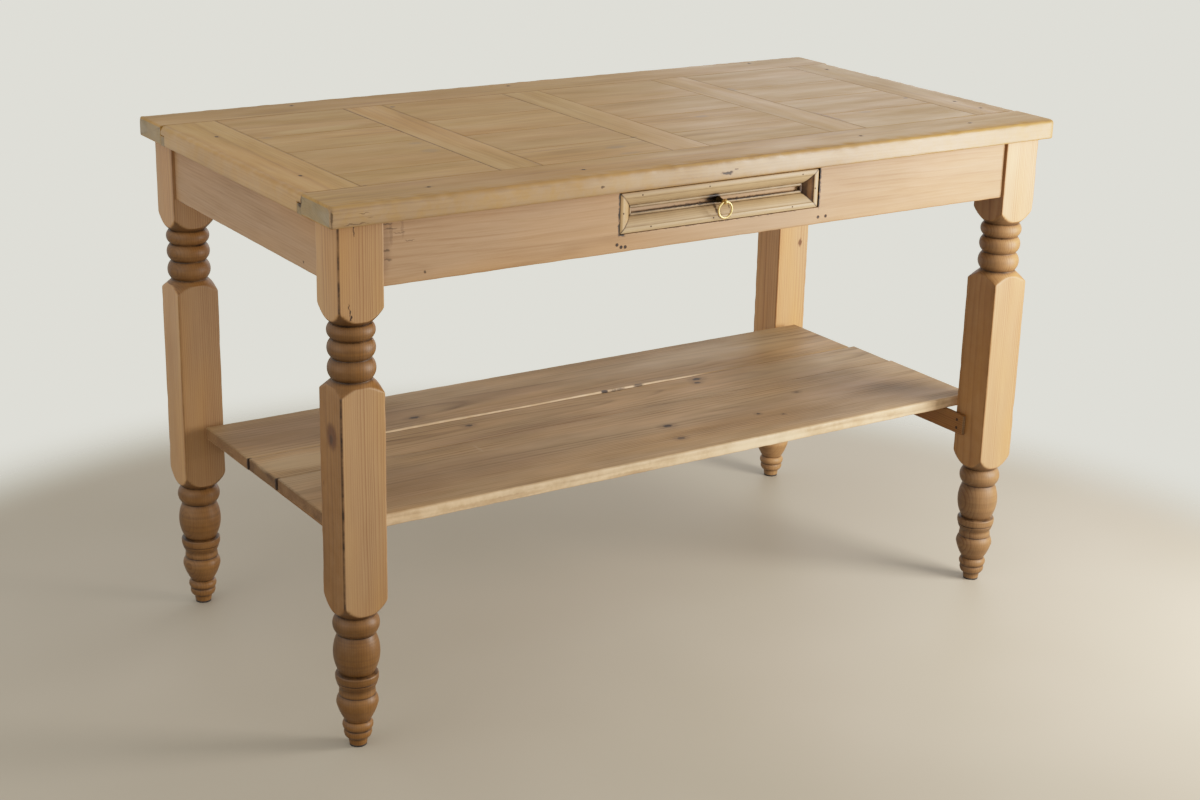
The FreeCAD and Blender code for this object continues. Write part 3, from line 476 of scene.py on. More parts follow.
# %% [markdown]
# The leg's surface is a distance from its axis: the smaller of the lathe's outline at that height and the
# square post in that direction, with the edge between the two rubbed soft. So the cut ends of the square
# blocks get their curved shoulders by themselves. The grid is fine where the lathe has worked and at the
# four arrises.

# %% Legs: the grid and the square post
HALF_SIDE, EASING, RUB = 33.5, 1.5, 0.45
TURNED_STEP = 0.8
QUARTER = math.pi / 2
heights = np.concatenate([np.arange(3, 236, TURNED_STEP), np.arange(236, 528, 11.0),
                          np.arange(528, 658, TURNED_STEP), np.arange(658, 769, 9.0), [770]])
quarter = np.radians(np.concatenate([np.linspace(0, 40.5, 10)[:-1], np.linspace(40.5, 49.5, 11)[:-1],
                                     np.linspace(49.5, 90, 10)[:-1]]))
angles = np.concatenate([quarter + turn * QUARTER for turn in range(4)])


def square_reach(angle):
    """Distance from the axis to a square with rounded corners: half side / cos, or the corner's circle."""
    folded = np.abs((angle + QUARTER / 2) % QUARTER - QUARTER / 2)
    k = HALF_SIDE - EASING
    both = np.cos(folded) + np.sin(folded)
    circle = k * both + np.sqrt(np.maximum(k * k * both * both - 2 * k * k + EASING * EASING, 0))
    return np.where(HALF_SIDE * np.tan(folded) <= k, HALF_SIDE / np.cos(folded), circle)


lathe = np.interp(heights, LATHE[:, 1], LATHE[:, 0])[:, None]
square = square_reach(angles)[None, :]
plain_reach = -RUB * np.logaddexp(-lathe / RUB, -square / RUB)
unit = np.stack([np.cos(angles), np.sin(angles)], -1)
print("leg:", len(heights), "rows of", len(angles), "points, up to", round(plain_reach.max(), 2), "mm out")

# %% [markdown]
# What the finish needs to know about a leg is the same for all four: where it is turned, where its
# arrises are, how the outline slopes, and where its hollows hold dirt and painted shade.

# %% Legs: turned parts, arrises and hollows
ARRIS_REACH = math.radians(3.2)
HALO = 0.16 * np.exp(-(np.arange(-8, 9) * TURNED_STEP / 3.2) ** 2)
turned = np.maximum(np.clip((square - lathe) / 2.5, 0, 1), np.clip((34.6 - lathe) / 0.8, 0, 1))
from_arris = np.abs(np.abs((angles + QUARTER / 2) % QUARTER - QUARTER / 2) - QUARTER / 2)
arris = np.clip(1 - from_arris / ARRIS_REACH, 0, 1)[None, :] * (1 - turned)
slope = np.gradient(lathe[:, 0], heights)
# Dirt and painted shade: the inner curves and steep steps of the outline are darkened, and HALO spreads this
# a few millimetres round each groove, where shade falls.
hollow = np.maximum(np.clip(np.gradient(slope, heights) * 2.2, 0, 1), np.clip(-1.5 - slope, 0, 1))
hollow = np.maximum(hollow, np.convolve(hollow, HALO, "same"))[:, None] * turned
face = np.round(angles / QUARTER).astype(int) % 4
print("rows with dirt in a hollow:", int((hollow.max(1) > 0.5).sum()))

# %% Legs: one leg
BLOCK_HEIGHTS, SPUN_HEIGHTS = (234, 532, 640), (40, 150, 560)
# Painted light: the turned parts are lighter towards LIT_SIDE and less light on the far side, down to
# IN_SHADE.
PAINTED_LIGHT_GAIN, LIT_SIDE, IN_SHADE = 0.4, math.radians(295), -0.45
FRONT_LEFT_ARRIS, LINE_REACH = 1.25 * math.pi, math.radians(1.3)


def leg(node, x, y, seed, pith, tones, stain, line):
    """Reach at height z and angle t is the soft minimum -s*ln(exp(-lathe/s) + exp(-square/s)), s = 0.45 mm,
    less wear at the arris. tones: for each face (+x, +y, -x, -y) the tone at the long block's foot and head
    and in the upper block, partly painted light and shade, and last the tone of the turned base, vase and
    neck, which the lathe has lined and which carries painted light: lighter on the lit side and on upward
    faces, less light on the shaded side and on downward faces. stain: how much stain the -x face has kept
    at the same three heights, and last the turned parts. line: how dark the front-left arris is."""
    upright = np.repeat(heights[:, None, None], len(angles), 1)
    place = np.concatenate([plain_reach[..., None] * unit, upright], -1)
    reach = plain_reach - arris * 0.9 * soft_noise(place, 30, seed) ** 3
    reach = reach - 0.12 * soft_noise(place, 60, seed + 1)
    points = np.concatenate([reach[..., None] * unit + (x, y), upright], -1)
    grain = np.stack([points[..., 2] + seed * 700, points[..., 0] - x - pith[0],
                      points[..., 1] - y - pith[1]], -1)
    blocks = np.stack([np.interp(heights, BLOCK_HEIGHTS, tones[n]) for n in range(4)], -1)
    lines = soft_noise(np.stack([0 * heights, 0 * heights, heights], -1), 6, seed + 9) - 0.5
    spun = np.interp(heights, SPUN_HEIGHTS, tones[4])
    # Painted light: upward faces of the turned parts are lighter and downward faces darker, as light from
    # above makes them.
    spun = spun * (1 + 0.22 * lines) * (1 - 0.35 * np.clip(slope, -1, 1))
    # Painted light and shade round each turned part, strongest towards LIT_SIDE.
    painted_lit_side = 0.9 + PAINTED_LIGHT_GAIN * np.maximum(np.cos(angles - LIT_SIDE), IN_SHADE)
    tone = blocks[:, face] * (1 - turned) + turned * spun[:, None] * painted_lit_side
    stained = np.where(face == 2, np.interp(heights, BLOCK_HEIGHTS, stain[:3])[:, None], 0)
    away = np.abs((angles - FRONT_LEFT_ARRIS + math.pi) % (2 * math.pi) - math.pi)
    dark_line = line * np.clip(2.2 - away / LINE_REACH, 0, 1)[None, :] * (1 - turned)
    finish = (np.clip(hollow + dark_line, 0, 1), tone, arris * (1 - line),
              stain[3] * turned + stained * (1 - turned))
    notes = np.concatenate([grain * MM, *(part[..., None] for part in finish)], -1)
    make_piece(node, "wood", [close_tube(points, notes)], "frame")


print("the turned parts are palest towards", round(math.degrees(LIT_SIDE)), "degrees, on their lit side")

# %% [markdown]
# The four legs differ: the front-left one is stained and has a dark arris, and the back ones are plainer.
# Their face tones also carry painted light and shade: the fronts of the front-right and back-right legs are
# painted lighter, where the light falls, and the back-left's front darker, in shade.

# %% Legs: the four of them
LEG_X, LEG_Y = 584.5, 283.5
PLAIN = (0.5, 0.5, 0.5)
LEG_PITH = {"front_left": (-110, 25), "front_right": (120, -30),
            "back_left": (-90, -40), "back_right": (100, 60)}
# Painted light: besides the wood's own tone, the -y tones are raised on the front-right and back-right legs,
# where the light falls, and lowered on the back-left one, in shade.
LEG_TONES_AND_PAINTED_LIGHT = {"front_left": (PLAIN, PLAIN, (0.36, 0.40, 0.52), (0.40, 0.49, 0.46), (0.31, 0.23, 0.27)),
             "front_right": (PLAIN, PLAIN, (0.44, 0.43, 0.38), (0.47, 0.47, 0.60), (0.27, 0.26, 0.33)),
             "back_left": (PLAIN, PLAIN, (0.48, 0.50, 0.52), (0.36, 0.36, 0.37), (0.33, 0.28, 0.29)),
             "back_right": (PLAIN, PLAIN, (0.54, 0.54, 0.54), (0.65, 0.65, 0.63), (0.42, 0.38, 0.36))}
LEG_STAIN = {"front_left": (1.0, 0.8, 0.0, 1.0), "front_right": (0.7, 0.6, 0.5, 0.55),
             "back_left": (0.1, 0.0, 0.0, 0.9), "back_right": (0.1, 0.1, 0.1, 0.4)}
for seed, (place, pith) in enumerate(LEG_PITH.items(), start=61):
    x = LEG_X * (-1 if "left" in place else 1)
    y = LEG_Y * (-1 if "front" in place else 1)
    line = 1.0 if place == "front_left" else 0.25
    leg(f"leg_{place}", x, y, seed, pith, LEG_TONES_AND_PAINTED_LIGHT[place], LEG_STAIN[place], line)

# %% [markdown]
# The aprons are planks on edge between the legs, with a short tenon at each end. The front one is cut
# away in the middle for the drawer, so its upper limit drops there from the underside of the top to the
# drawer's sill.

# %% Aprons
APRON_HEAD, APRON_FOOT, END_FOOT, SILL = 769.9, 678, 683, 704
TENON = (APRON_FOOT + 12, APRON_HEAD - 12)
tiny = ((0.5,) * 4, (0.5,) * 4)


def apron(node, axes, seed, stretches, low_edges, worn, dent, **look):
    """A board on edge. low_edges: roundings of the two edges at its foot; the top hides its head."""
    shell = board(stretches, axes, seed, radii=(*low_edges, 0.3, 0.3), ends=tiny, step=9, sides=(3, 9),
                  worn=(*worn, 0, 0), wear=(0.1, 0.2), dent=dent, **look)
    make_piece(node, "wood", [shell], "frame")


FRONT_FACES, BACK_FACES = (-311.85, -287), (287, 311.85)
front = [(-576, -551, -304.5, -294.5, *TENON), (-551, -178.5, *FRONT_FACES, APRON_FOOT, APRON_HEAD),
         (-178.5, 178.5, *FRONT_FACES, APRON_FOOT, SILL), (178.5, 551, *FRONT_FACES, APRON_FOOT, APRON_HEAD),
         (551, 576, -304.5, -294.5, *TENON)]
back = [(-576, -551, 294.5, 304.5, *TENON), (-551, 551, *BACK_FACES, APRON_FOOT, APRON_HEAD),
        (551, 576, 294.5, 304.5, *TENON)]
apron("front_apron", "xyz", 71, front, (1.4, 0.6), (0.8, 0.3), 0.5, pith=(60, -20))
apron("back_apron", "xyz", 72, back, (0.6, 1.4), (0.3, 0.8), 0.5)
for side, node, seed in ((-1, "left_apron", 73), (1, "right_apron", 74)):
    faces = sorted((side * 612.9, side * 588))
    tenon = (side * 600.5 - 5, side * 600.5 + 5, 695, 758)
    between = [(-275, -250, *tenon), (-250, 250, *faces, END_FOOT, APRON_HEAD), (250, 275, *tenon)]
    apron(node, "yxz", seed, between, (1.4, 1.4), (0.6, 0.6), 0.4)

# %% [markdown]
# Four strips of moulding are planted round the drawer's front with mitred corners. One moulding is a
# profile carried along an edge: a point that lies deeper into the frame starts later and stops earlier,
# which makes the mitres.

# %% Drawer: the moulding's profile
WIDE, DEEP = 25.5, 17.5
PROFILE = [(0.012, 0.02), (0.03, 0.0), (0.28, 0.0), (0.294, 0.008), (0.314, 0.057),
           ((0.580, 0.263), (0.824, 0.640)), (0.839, 0.709), ((0.918, 0.640), (1.0, 0.777)),
           (1.0, 1.0), (0.0, 1.0), (0.0, 0.04)]
outline = np.array(follow(PROFILE)) * (WIDE, DEEP)
# Dirt and painted shade: the outer gap, the quirks, the inner edge and the moulding's hidden back are
# darkened, where old wax gathers and shade falls.
profile_dirt_and_shade = np.interp(outline[:, 0], [0, 0.4, 7, 8.2, 10, 20.5, 21.4, 22.5, 24, 25.5],
                         [0.5, 0.1, 0, 0.5, 0.05, 0.3, 1, 0.4, 0.5, 1])
profile_dirt_and_shade = np.where(outline[:, 1] > 0.72 * DEEP, 1.0, profile_dirt_and_shade)
# Stain and painted shade for the slope of a moulding that faces away from the light; only the right one uses
# it.
profile_stain_and_shade = np.interp(outline[:, 0], [7.6, 8.2, 10, 11, 15, 17], [0, 1, 1, 0.1, 0.1, 1])
# A painted highlight along both edges of the flat band; it goes in through the rub note.
profile_painted_highlight = np.interp(outline[:, 0], [0, 1, 5.5, 7.5, 8], [0.5, 0, 0, 0.5, 0])
profile_slope = np.clip(outline[:, 0] - 7, 0, 1)
print("moulding profile:", len(outline), "points,", WIDE, "mm wide and", DEEP, "mm deep")

# %% Drawer: the four mouldings
FACE_Y, MOULDING_TONE = -312, 0.52
MITRE_ROWS = np.array([0, 0.6, 1.3, 2.0])
DRAWER = dict(left=-177.5, right=175.5, low=705, high=763)


def moulding(place, start, stop, edge, inward, upright, seed, tone=MOULDING_TONE, stain=0.0):
    """Point = along from start + u to stop - u, u into the frame from the edge, v behind the face. The rows
    next to a mitre stay at fixed distances from it, so that the dirt in the mitre is a line of one width."""
    share = np.linspace(0, 1, 6 if upright else 40)[:, None]
    u, v = outline[:, 0][None, :], outline[:, 1][None, :]
    near, nearest = MITRE_ROWS[:, None], MITRE_ROWS[-1]
    first, last = start + u + nearest, stop - u - nearest
    along = np.concatenate([start + u + near[:-1], first * (1 - share) + last * share,
                            stop - u - near[-2::-1]])
    across = edge + inward * u + 0 * along
    deep = FACE_Y + v + 0.10 * soft_noise(np.stack([along, across, 0 * across], -1), 45, seed)
    points = np.stack((across, deep, along) if upright else (along, deep, across), -1)
    grain = np.stack([along + seed * 300, 0 * along + u + 20, 0 * along + v + 30], -1)
    at_mitre = np.interp(np.minimum(along - start - u, stop - u - along), MITRE_ROWS, [1, 1, 0.8, 0])
    finish = (np.maximum(np.maximum(profile_dirt_and_shade, stain * profile_stain_and_shade), at_mitre),
              MOULDING_TONE + (tone - MOULDING_TONE) * profile_slope, profile_painted_highlight, stain * profile_slope)
    finish = [np.broadcast_to(part, along.shape)[..., None] for part in finish]
    shell = close_tube(points, np.concatenate([grain * MM, *finish], -1))
    make_piece(f"drawer_moulding_{place}", "wood", [shell], "drawer")


moulding("top", DRAWER["left"], DRAWER["right"], DRAWER["high"], -1, False, 81)
moulding("bottom", DRAWER["left"], DRAWER["right"], DRAWER["low"], 1, False, 82)
moulding("left", DRAWER["low"], DRAWER["high"], DRAWER["left"], 1, True, 83)
# The right moulding's slope, which faces away from the light, is stained and painted darker as shade.
moulding("right", DRAWER["low"], DRAWER["high"], DRAWER["right"], -1, True, 84, tone=0.42, stain=1.0)

# %% [markdown]
# The pull is a loose ring of bent brass wire that hangs in the eye of a small post. A ring is a small
# circle carried round a large one; the wire is a touch thinner at the top, where it has rubbed in the
# eye.

# %% Drawer: the ring pull
PULL_X, EYE_Y, EYE_Z = -1, -320, 734


def turns(count, upright):
    """`count` equal angles round a full turn, as a column or as a row."""
    angle = np.linspace(0, 2 * math.pi, count + 1)[:-1]
    return angle[:, None] if upright else angle[None, :]


def wire_ring(node, z, large, wire):
    """Point = centre + (large + wire*cos b) round the axis, + wire*sin b along it, b going round the wire."""
    a, b = turns(128, True), turns(16, False)
    rub_in_eye = wire * (1 - 0.14 * np.clip(np.cos(a), 0, 1) ** 4)
    reach = large + rub_in_eye * np.cos(b)
    points = np.stack([PULL_X + reach * np.sin(a), EYE_Y + rub_in_eye * np.sin(b), z + reach * np.cos(a)], -1)
    make_piece(node, "brass", [close_ring(points)], "ring")


def turned_post(node, outline, eye_middle, eye_wall, eye_width):
    """A lathe shape about the line through the eye: radius r at depth y. The eye is a ring round an axis
    along x: point = eye centre + (middle + wall*cos b) round it, + half its width*sin b along x."""
    turn = turns(32, False)
    y, r = (np.array(outline, float)[:, n][:, None] for n in (0, 1))
    stem = np.stack([PULL_X + r * np.cos(turn), y + 0 * turn, EYE_Z + r * np.sin(turn)], -1)
    a, b = turns(32, True), turns(16, False)
    reach = eye_middle + eye_wall * np.cos(b)
    eye = np.stack([PULL_X + eye_width / 2 * np.sin(b) + 0 * a, EYE_Y + reach * np.cos(a),
                    EYE_Z + reach * np.sin(a)], -1)
    shells = [close_tube(stem, np.zeros(stem.shape[:2] + (NOTES,))), close_ring(eye)]
    make_piece(node, "brass", shells, "drawer")


POST = [(-275.75, 1.6), (-276.1, 2), (-294.4, 2), (-294.5, 3.4), (-300.4, 3.2), (-300.9, 4.6), (-301.5, 4.95),
        (-302.6, 4.95), (-303.2, 4.6), (-304.4, 4.1), (-308, 3.4), (-313, 2.7), (-317, 2.4), (-317.6, 1.5)]
wire_ring("pull_ring", 722.15, 11.85, 1.4)
turned_post("pull_post", POST, 2.8, 1.0, 4)

# %% [markdown]
# The shelf is three rough boards laid side by side. They were never cut to one length, their edges
# wander, and the back one has cupped, so that its front edge stands a little proud of its neighbour. A
# slat across each end carries the shelf and is nailed to the legs' inner faces.

# %% Shelf boards and bearers
SHELF_LOW, SHELF_HIGH, BEARER_LOW = 299, 318, 264
rough = ((1.2,) * 4, (1.2,) * 4)


def cupped(a, b, c):
    """Lifts the back board's front edge by up to 2.8 mm over most of its length; the lift fades 28 mm in."""
    along = np.exp(-((a + 70) / 360.0) ** 6)
    return b, c + 2.8 * along * np.clip(1 - (b - 71.5) / 28, 0, 1) ** 1.5 * (0.8 + 0.2 * np.sin(a / 60))


def shelf_board(place, span, seed, **look):
    """span: left and right end, front and back edge."""
    shell = board([(*span, SHELF_LOW, SHELF_HIGH)], "xyz", seed, ends=rough, step=8, **look)
    make_piece(f"shelf_{place}_board", "wood", [shell], "frame")


shelf_board("back", (-588, 582, 71.5, 232.5), 91, radii=(1, 1, 1.6, 1.2), sides=(15, 3), worn=(0, 0, 0.4, 1),
            rub_sides=(0, 0, 0, 1), rub_reach=(-420, 270), end_seams=(0.3, 0), tone=0.49, wear=(0.4, 0.3),
            dent=0.5, bow=cupped)
shelf_board("middle", (-586, 593, -27, 71), 92, radii=(1, 1, 1, 0.5), sides=(11, 3), seams=(0, 0, 0.6, 0.35),
            end_seams=(0.8, 0), tone=0.51, wear=(0.3, 0.4))
shelf_board("front", (-584, 597, -232.5, -27.5), 93, radii=(1.8, 1, 0.5, 2.2), sides=(17, 5),
            seams=(0, 0, 0.35, 0), worn=(0.5, 0, 0, 0.6), rub_sides=(0, 0, 0, 1), end_seams=(0.5, 0),
            tone=0.5, wear=(0.8, 0.3), dent=0.9)
for side, node, seed in ((-1, "left_shelf_bearer", 95), (1, "right_shelf_bearer", 96)):
    faces = sorted((side * 550.9, side * 542.6))
    shell = board([(-275, 275, *faces, BEARER_LOW, SHELF_LOW)], "yxz", seed, ends=rough, sides=(3, 5),
                  worn=(0.5,) * 4, wear=(0.1, 0.3), dent=0.4)
    make_piece(node, "wood", [shell], "frame")

# %% [markdown]
# Colours are written as sRGB hex, as a paint chart gives them, and one function makes them linear for the
# shader. One function adds a node: it sets the node's properties and its inputs, and links an input that
# is another node's output.

# %% Colour and node helpers
def linear(colour):
    """sRGB hex to linear: c/12.92 below 0.04045, else ((c + 0.055)/1.055)**2.4."""
    parts = [int(colour[n:n + 2], 16) / 255 for n in (1, 3, 5)]
    return tuple(p / 12.92 if p <= 0.04045 else ((p + 0.055) / 1.055) ** 2.4 for p in parts) + (1,)


def add(tree, kind, inputs=None, stops=None, out=0, **settings):
    """Adds one node and returns one of its outputs. stops: (place, grey or hex colour) of a colour ramp."""
    node = tree.nodes.new("ShaderNode" + kind)
    for key, value in settings.items():
        setattr(node, key, value)
    if stops:
        while len(node.color_ramp.elements) < len(stops):
            node.color_ramp.elements.new(0.5)
        for element, (place, shade) in zip(node.color_ramp.elements, stops):
            element.position = place
            element.color = linear(shade) if isinstance(shade, str) else (shade, shade, shade, 1)
    for key, value in (inputs or {}).items():
        if isinstance(value, bpy.types.NodeSocket):
            tree.links.new(value, node.inputs[key])
        else:
            node.inputs[key].default_value = value
    return node.outputs[out]


def new_material(name):
    """An empty material with a Principled surface; returns the material, its tree and the surface node."""
    material = bpy.data.materials.new(name)
    material.use_nodes = True
    return material, material.node_tree, material.node_tree.nodes["Principled BSDF"]


def mix(tree, share, first, second):
    """Two colours mixed by a share from 0 to 1."""
    return add(tree, "Mix", {0: share, 6: first, 7: second}, data_type="RGBA", out=2)


def dress(names, material):
    """Gives a material to CAD nodes and to the new pieces that stand for them."""
    for name in names:
        finer = [bpy.data.objects.get(f"{name}_{stuff}") for stuff in ("wood", "brass")]
        for made in (nodes[name], *finer):
            if made is not None:
                made.data.materials.clear()
                made.data.materials.append(material)


print("pine mid tone, linear:", tuple(round(v, 3) for v in linear("#AB8252")))

# %% [markdown]
# Pine is cut across its growth rings, so every face shows them: fine straight lines where the saw ran
# square to the rings, wide arches where it ran along them. The pattern is therefore not painted on. The
# "grain" note gives each point its place in the log, and a ring is all that lies at one distance from the
# pith. Real rings in this table are 3 to 4 mm apart. The dark line is the late wood: it grows darker
# slowly and stops at once.

# %% Pine: growth rings
LATE_WOOD = ((0, 0.05), (0.15, 0.0), (0.6, 0.35), (0.86, 1.0), (1.0, 0.1))
HALF = (0.5, 0.5, 0.5)


def grainy(tree, place, per_metre, detail=2.0, roughness=0.5, out=0):
    """A noise drawn out with the grain: so many waves per metre along, across and through the wood."""
    waves = {"Vector": add(tree, "Mapping", {0: place, 3: per_metre}), "Scale": 1.0, "Detail": detail}
    return add(tree, "TexNoise", {**waves, "Roughness": roughness}, out=out)


def growth_rings(tree, grain, ring):
    """Late wood at the fraction of radius / ring + 2.2 * noise(radius), where the log sways by up to 5 mm.
    Returns the swayed place in the log, and the lines, which fade in and out."""
    sway = grainy(tree, grain, (2.6, 16, 16), out=1)
    sway = add(tree, "VectorMath", {0: sway, 1: HALF}, operation="SUBTRACT")
    sway = add(tree, "VectorMath", {0: sway, 1: (0.0, 0.011, 0.011)}, operation="MULTIPLY")
    swayed = add(tree, "VectorMath", {0: grain, 1: sway}, operation="ADD")
    from_pith = add(tree, "VectorMath", {0: swayed, 1: (0, 1, 1)}, operation="MULTIPLY")
    radius = add(tree, "VectorMath", {0: from_pith}, operation="LENGTH", out=1)
    uneven = add(tree, "TexNoise", {"W": radius, "Scale": 55.0, "Detail": 1.0}, noise_dimensions="1D")
    uneven = add(tree, "Math", {0: uneven, 1: 2.2}, operation="MULTIPLY")
    count = add(tree, "Math", {0: radius, 1: 1000 / ring, 2: uneven}, operation="MULTIPLY_ADD")
    line = add(tree, "ValToRGB", {0: add(tree, "Math", {0: count}, operation="FRACT")}, stops=LATE_WOOD)
    fade = add(tree, "MapRange", {0: grainy(tree, swayed, (3, 30, 30)), 1: 0.35, 2: 0.65, 3: 0.3, 4: 1.0})
    return swayed, add(tree, "Math", {0: line, 1: fade}, operation="MULTIPLY")


print("late wood is darkest at", LATE_WOOD[3][0], "of a ring")

# %% [markdown]
# Between the rings lie fibres, drawn about 2 mm wide because finer ones wouldn't show at this size, wider
# streaks, and clouds where the wax has gone in unevenly. A slow change of hue keeps large faces from
# looking printed.

# %% Pine: colour of the bare wood
FIBRES, STREAKS, CLOUDS, HUES = (9, 430, 430), (2.2, 105, 105), (5, 26, 26), (2.5, 12, 12)
WARM_TO_COOL = ((0.38, "#FFF1D2"), (0.62, "#FBFAF4"))


def wood_colour(tree, grain, swayed, lines, shades, rings, fibres, blotch):
    """depth = 0.5 + rings*(line - 0.36) + fibres*(fibre - 0.5) + fibres/2*(streak - 0.5)
    + blotch*(cloud - 0.5), turned into the three shades and multiplied by the hue."""
    fibre = grainy(tree, swayed, FIBRES, roughness=0.6)
    streak = grainy(tree, swayed, STREAKS)
    cloud = grainy(tree, grain, CLOUDS, 3.0, 0.6)
    hue = add(tree, "ValToRGB", {0: grainy(tree, grain, HUES)}, stops=WARM_TO_COOL)
    start = 0.5 - 0.36 * rings - 0.5 * (fibres * 1.5 + blotch)
    depth = add(tree, "Math", {0: lines, 1: rings, 2: start}, operation="MULTIPLY_ADD")
    for part, strength in ((fibre, fibres), (streak, fibres * 0.5), (cloud, blotch)):
        depth = add(tree, "Math", {0: part, 1: strength, 2: depth}, operation="MULTIPLY_ADD")
    colour = add(tree, "ValToRGB", {0: depth}, stops=tuple(zip((0.15, 0.5, 0.9), shades)))
    return add(tree, "VectorMath", {0: colour, 1: hue}, operation="MULTIPLY"), depth, fibre, cloud


print("fibres are drawn", round(1000 / FIBRES[1], 1), "mm wide and", round(1000 / FIBRES[0]), "mm long")

# %% [markdown]
# The four finish notes become paint: rubbed wood is paler, the fourth note's colour is end grain or
# stain, the tone makes a board lighter or darker, and dirt lies on top. None of them goes on evenly: a
# patchy noise breaks them up.

# %% Pine: years of use
def used_colour(tree, place, notes, colour, depth, dirt="#3A2613", rubbed="#C9A36C", fourth="#7B6247",
                fourth_share=1.0, seam_share=0.7, rub_share=0.35):
    """colour = mix(colour, rubbed), mix(fourth), times 2 * tone, mix(dirt), each by its note * patches."""
    # The dirt note also carries painted shade in the legs' hollows and the mouldings' quirks, the rub note a
    # painted highlight on the mouldings, and the tone painted light on the legs.
    seam, tone, rub_and_highlight, last = notes
    patch = add(tree, "TexNoise", {"Vector": place, "Scale": 45.0, "Detail": 3.0, "Roughness": 0.65})
    shade = add(tree, "MapRange", {0: depth, 1: 0.3, 2: 0.8, 3: 1.14, 4: 0.78})

    def patchy(note, low, high, least, share):
        uneven = add(tree, "MapRange", {0: patch, 1: low, 2: high, 3: least * share, 4: share})
        return add(tree, "Math", {0: note, 1: uneven}, operation="MULTIPLY")

    worn_wood, stained_wood = (
        add(tree, "VectorMath", {0: linear(paint)[:3], "Scale": shade}, operation="SCALE")
        for paint in (rubbed, fourth))
    colour = mix(tree, patchy(rub_and_highlight, 0.35, 0.6, 0.6, rub_share), colour, worn_wood)
    colour = mix(tree, patchy(last, 0.3, 0.7, 0.75, fourth_share), colour, stained_wood)
    scale = add(tree, "Math", {0: tone, 1: 2.0}, operation="MULTIPLY")
    colour = add(tree, "VectorMath", {0: colour, "Scale": scale}, operation="SCALE")
    return mix(tree, patchy(seam, 0.35, 0.65, 0.5, seam_share), colour, linear(dirt))


print("a tone of 0.5 leaves a board as it is")

# %% [markdown]
# Knots, scuffs, burns and ink stains each have their own place. A mark is a soft ellipsoid in the table's
# own space, so it stays put on whatever surface passes through it, and a noise of 3 mm gives it a ragged
# edge.

# %% Pine: knots and marks
THROUGH = 9


def lying(height, marks):
    """Marks (x, y, reach x, reach y, strength) on a level face at this height."""
    return [(x, y, height, rx, ry, THROUGH, strength) for x, y, rx, ry, strength in marks]


def spots(tree, place, marks):
    """The strongest of a list of soft ellipsoids: (x, y, z, reach x, reach y, reach z, strength), in mm."""
    total = None
    for x, y, z, rx, ry, rz, strength in marks:
        away = add(tree, "VectorMath", {0: place, 1: (x * MM, y * MM, z * MM)}, operation="SUBTRACT")
        away = add(tree, "VectorMath", {0: away, 1: (1000 / rx, 1000 / ry, 1000 / rz)}, operation="MULTIPLY")
        reach = add(tree, "VectorMath", {0: away}, operation="LENGTH", out=1)
        mark = add(tree, "MapRange", {0: reach, 1: 1.0, 2: 0.45, 3: 0.0, 4: strength},
                   interpolation_type="SMOOTHSTEP")
        total = mark if total is None else add(tree, "Math", {0: total, 1: mark}, operation="MAXIMUM")
    return total


def marked(tree, place, colour, marks):
    """Paints lists of spots over a colour, one after another; the place wobbles by up to 3 mm."""
    wobble = add(tree, "TexNoise", {"Vector": place, "Scale": 160.0, "Detail": 2.0}, out=1)
    wobble = add(tree, "VectorMath", {0: wobble, 1: HALF}, operation="SUBTRACT")
    wobble = add(tree, "VectorMath", {0: wobble, "Scale": 0.006}, operation="SCALE")
    ragged = add(tree, "VectorMath", {0: place, 1: wobble}, operation="ADD")
    for shade, where in marks:
        colour = mix(tree, spots(tree, ragged, where), colour, linear(shade))
    return colour


print("a mark on a level face reaches", THROUGH, "mm up and down")

# %% [markdown]
# The parts come together in one material. Pine with old wax has a refractive index of about 1.5 and a
# satin gloss, roughness 0.45 to 0.5; bare and dry pine is duller, 0.55 to 0.6. A rubbed edge is a little
# smoother. The relief of fibres and late wood is a fraction of a millimetre, so it is left to a bump.

# %% Pine: the whole material
OWN_LOG = (0.37, 0.05, -0.78)
WAXED_PINE_IOR, RELIEF, RELIEF_STRENGTH = 1.5, 0.0006, 0.35


def log_place(tree, place, axes):
    """Place in the log and the four notes, from the mesh, or from the object's own space for a CAD node."""
    if axes is None:
        told = add(tree, "Attribute", attribute_name="finish", out="Color")
        notes = [add(tree, "SeparateColor", {0: told}, out=n) for n in range(3)]
        notes.append(add(tree, "Attribute", attribute_name="finish", out="Alpha"))
        return add(tree, "Attribute", attribute_name="grain", out="Vector"), notes
    parts = {axis: add(tree, "SeparateXYZ", {0: place}, out=n) for n, axis in enumerate("xyz")}
    grain = add(tree, "CombineXYZ", dict(enumerate(parts[axis] for axis in axes)))
    return add(tree, "VectorMath", {0: grain, 1: OWN_LOG}, operation="ADD"), None


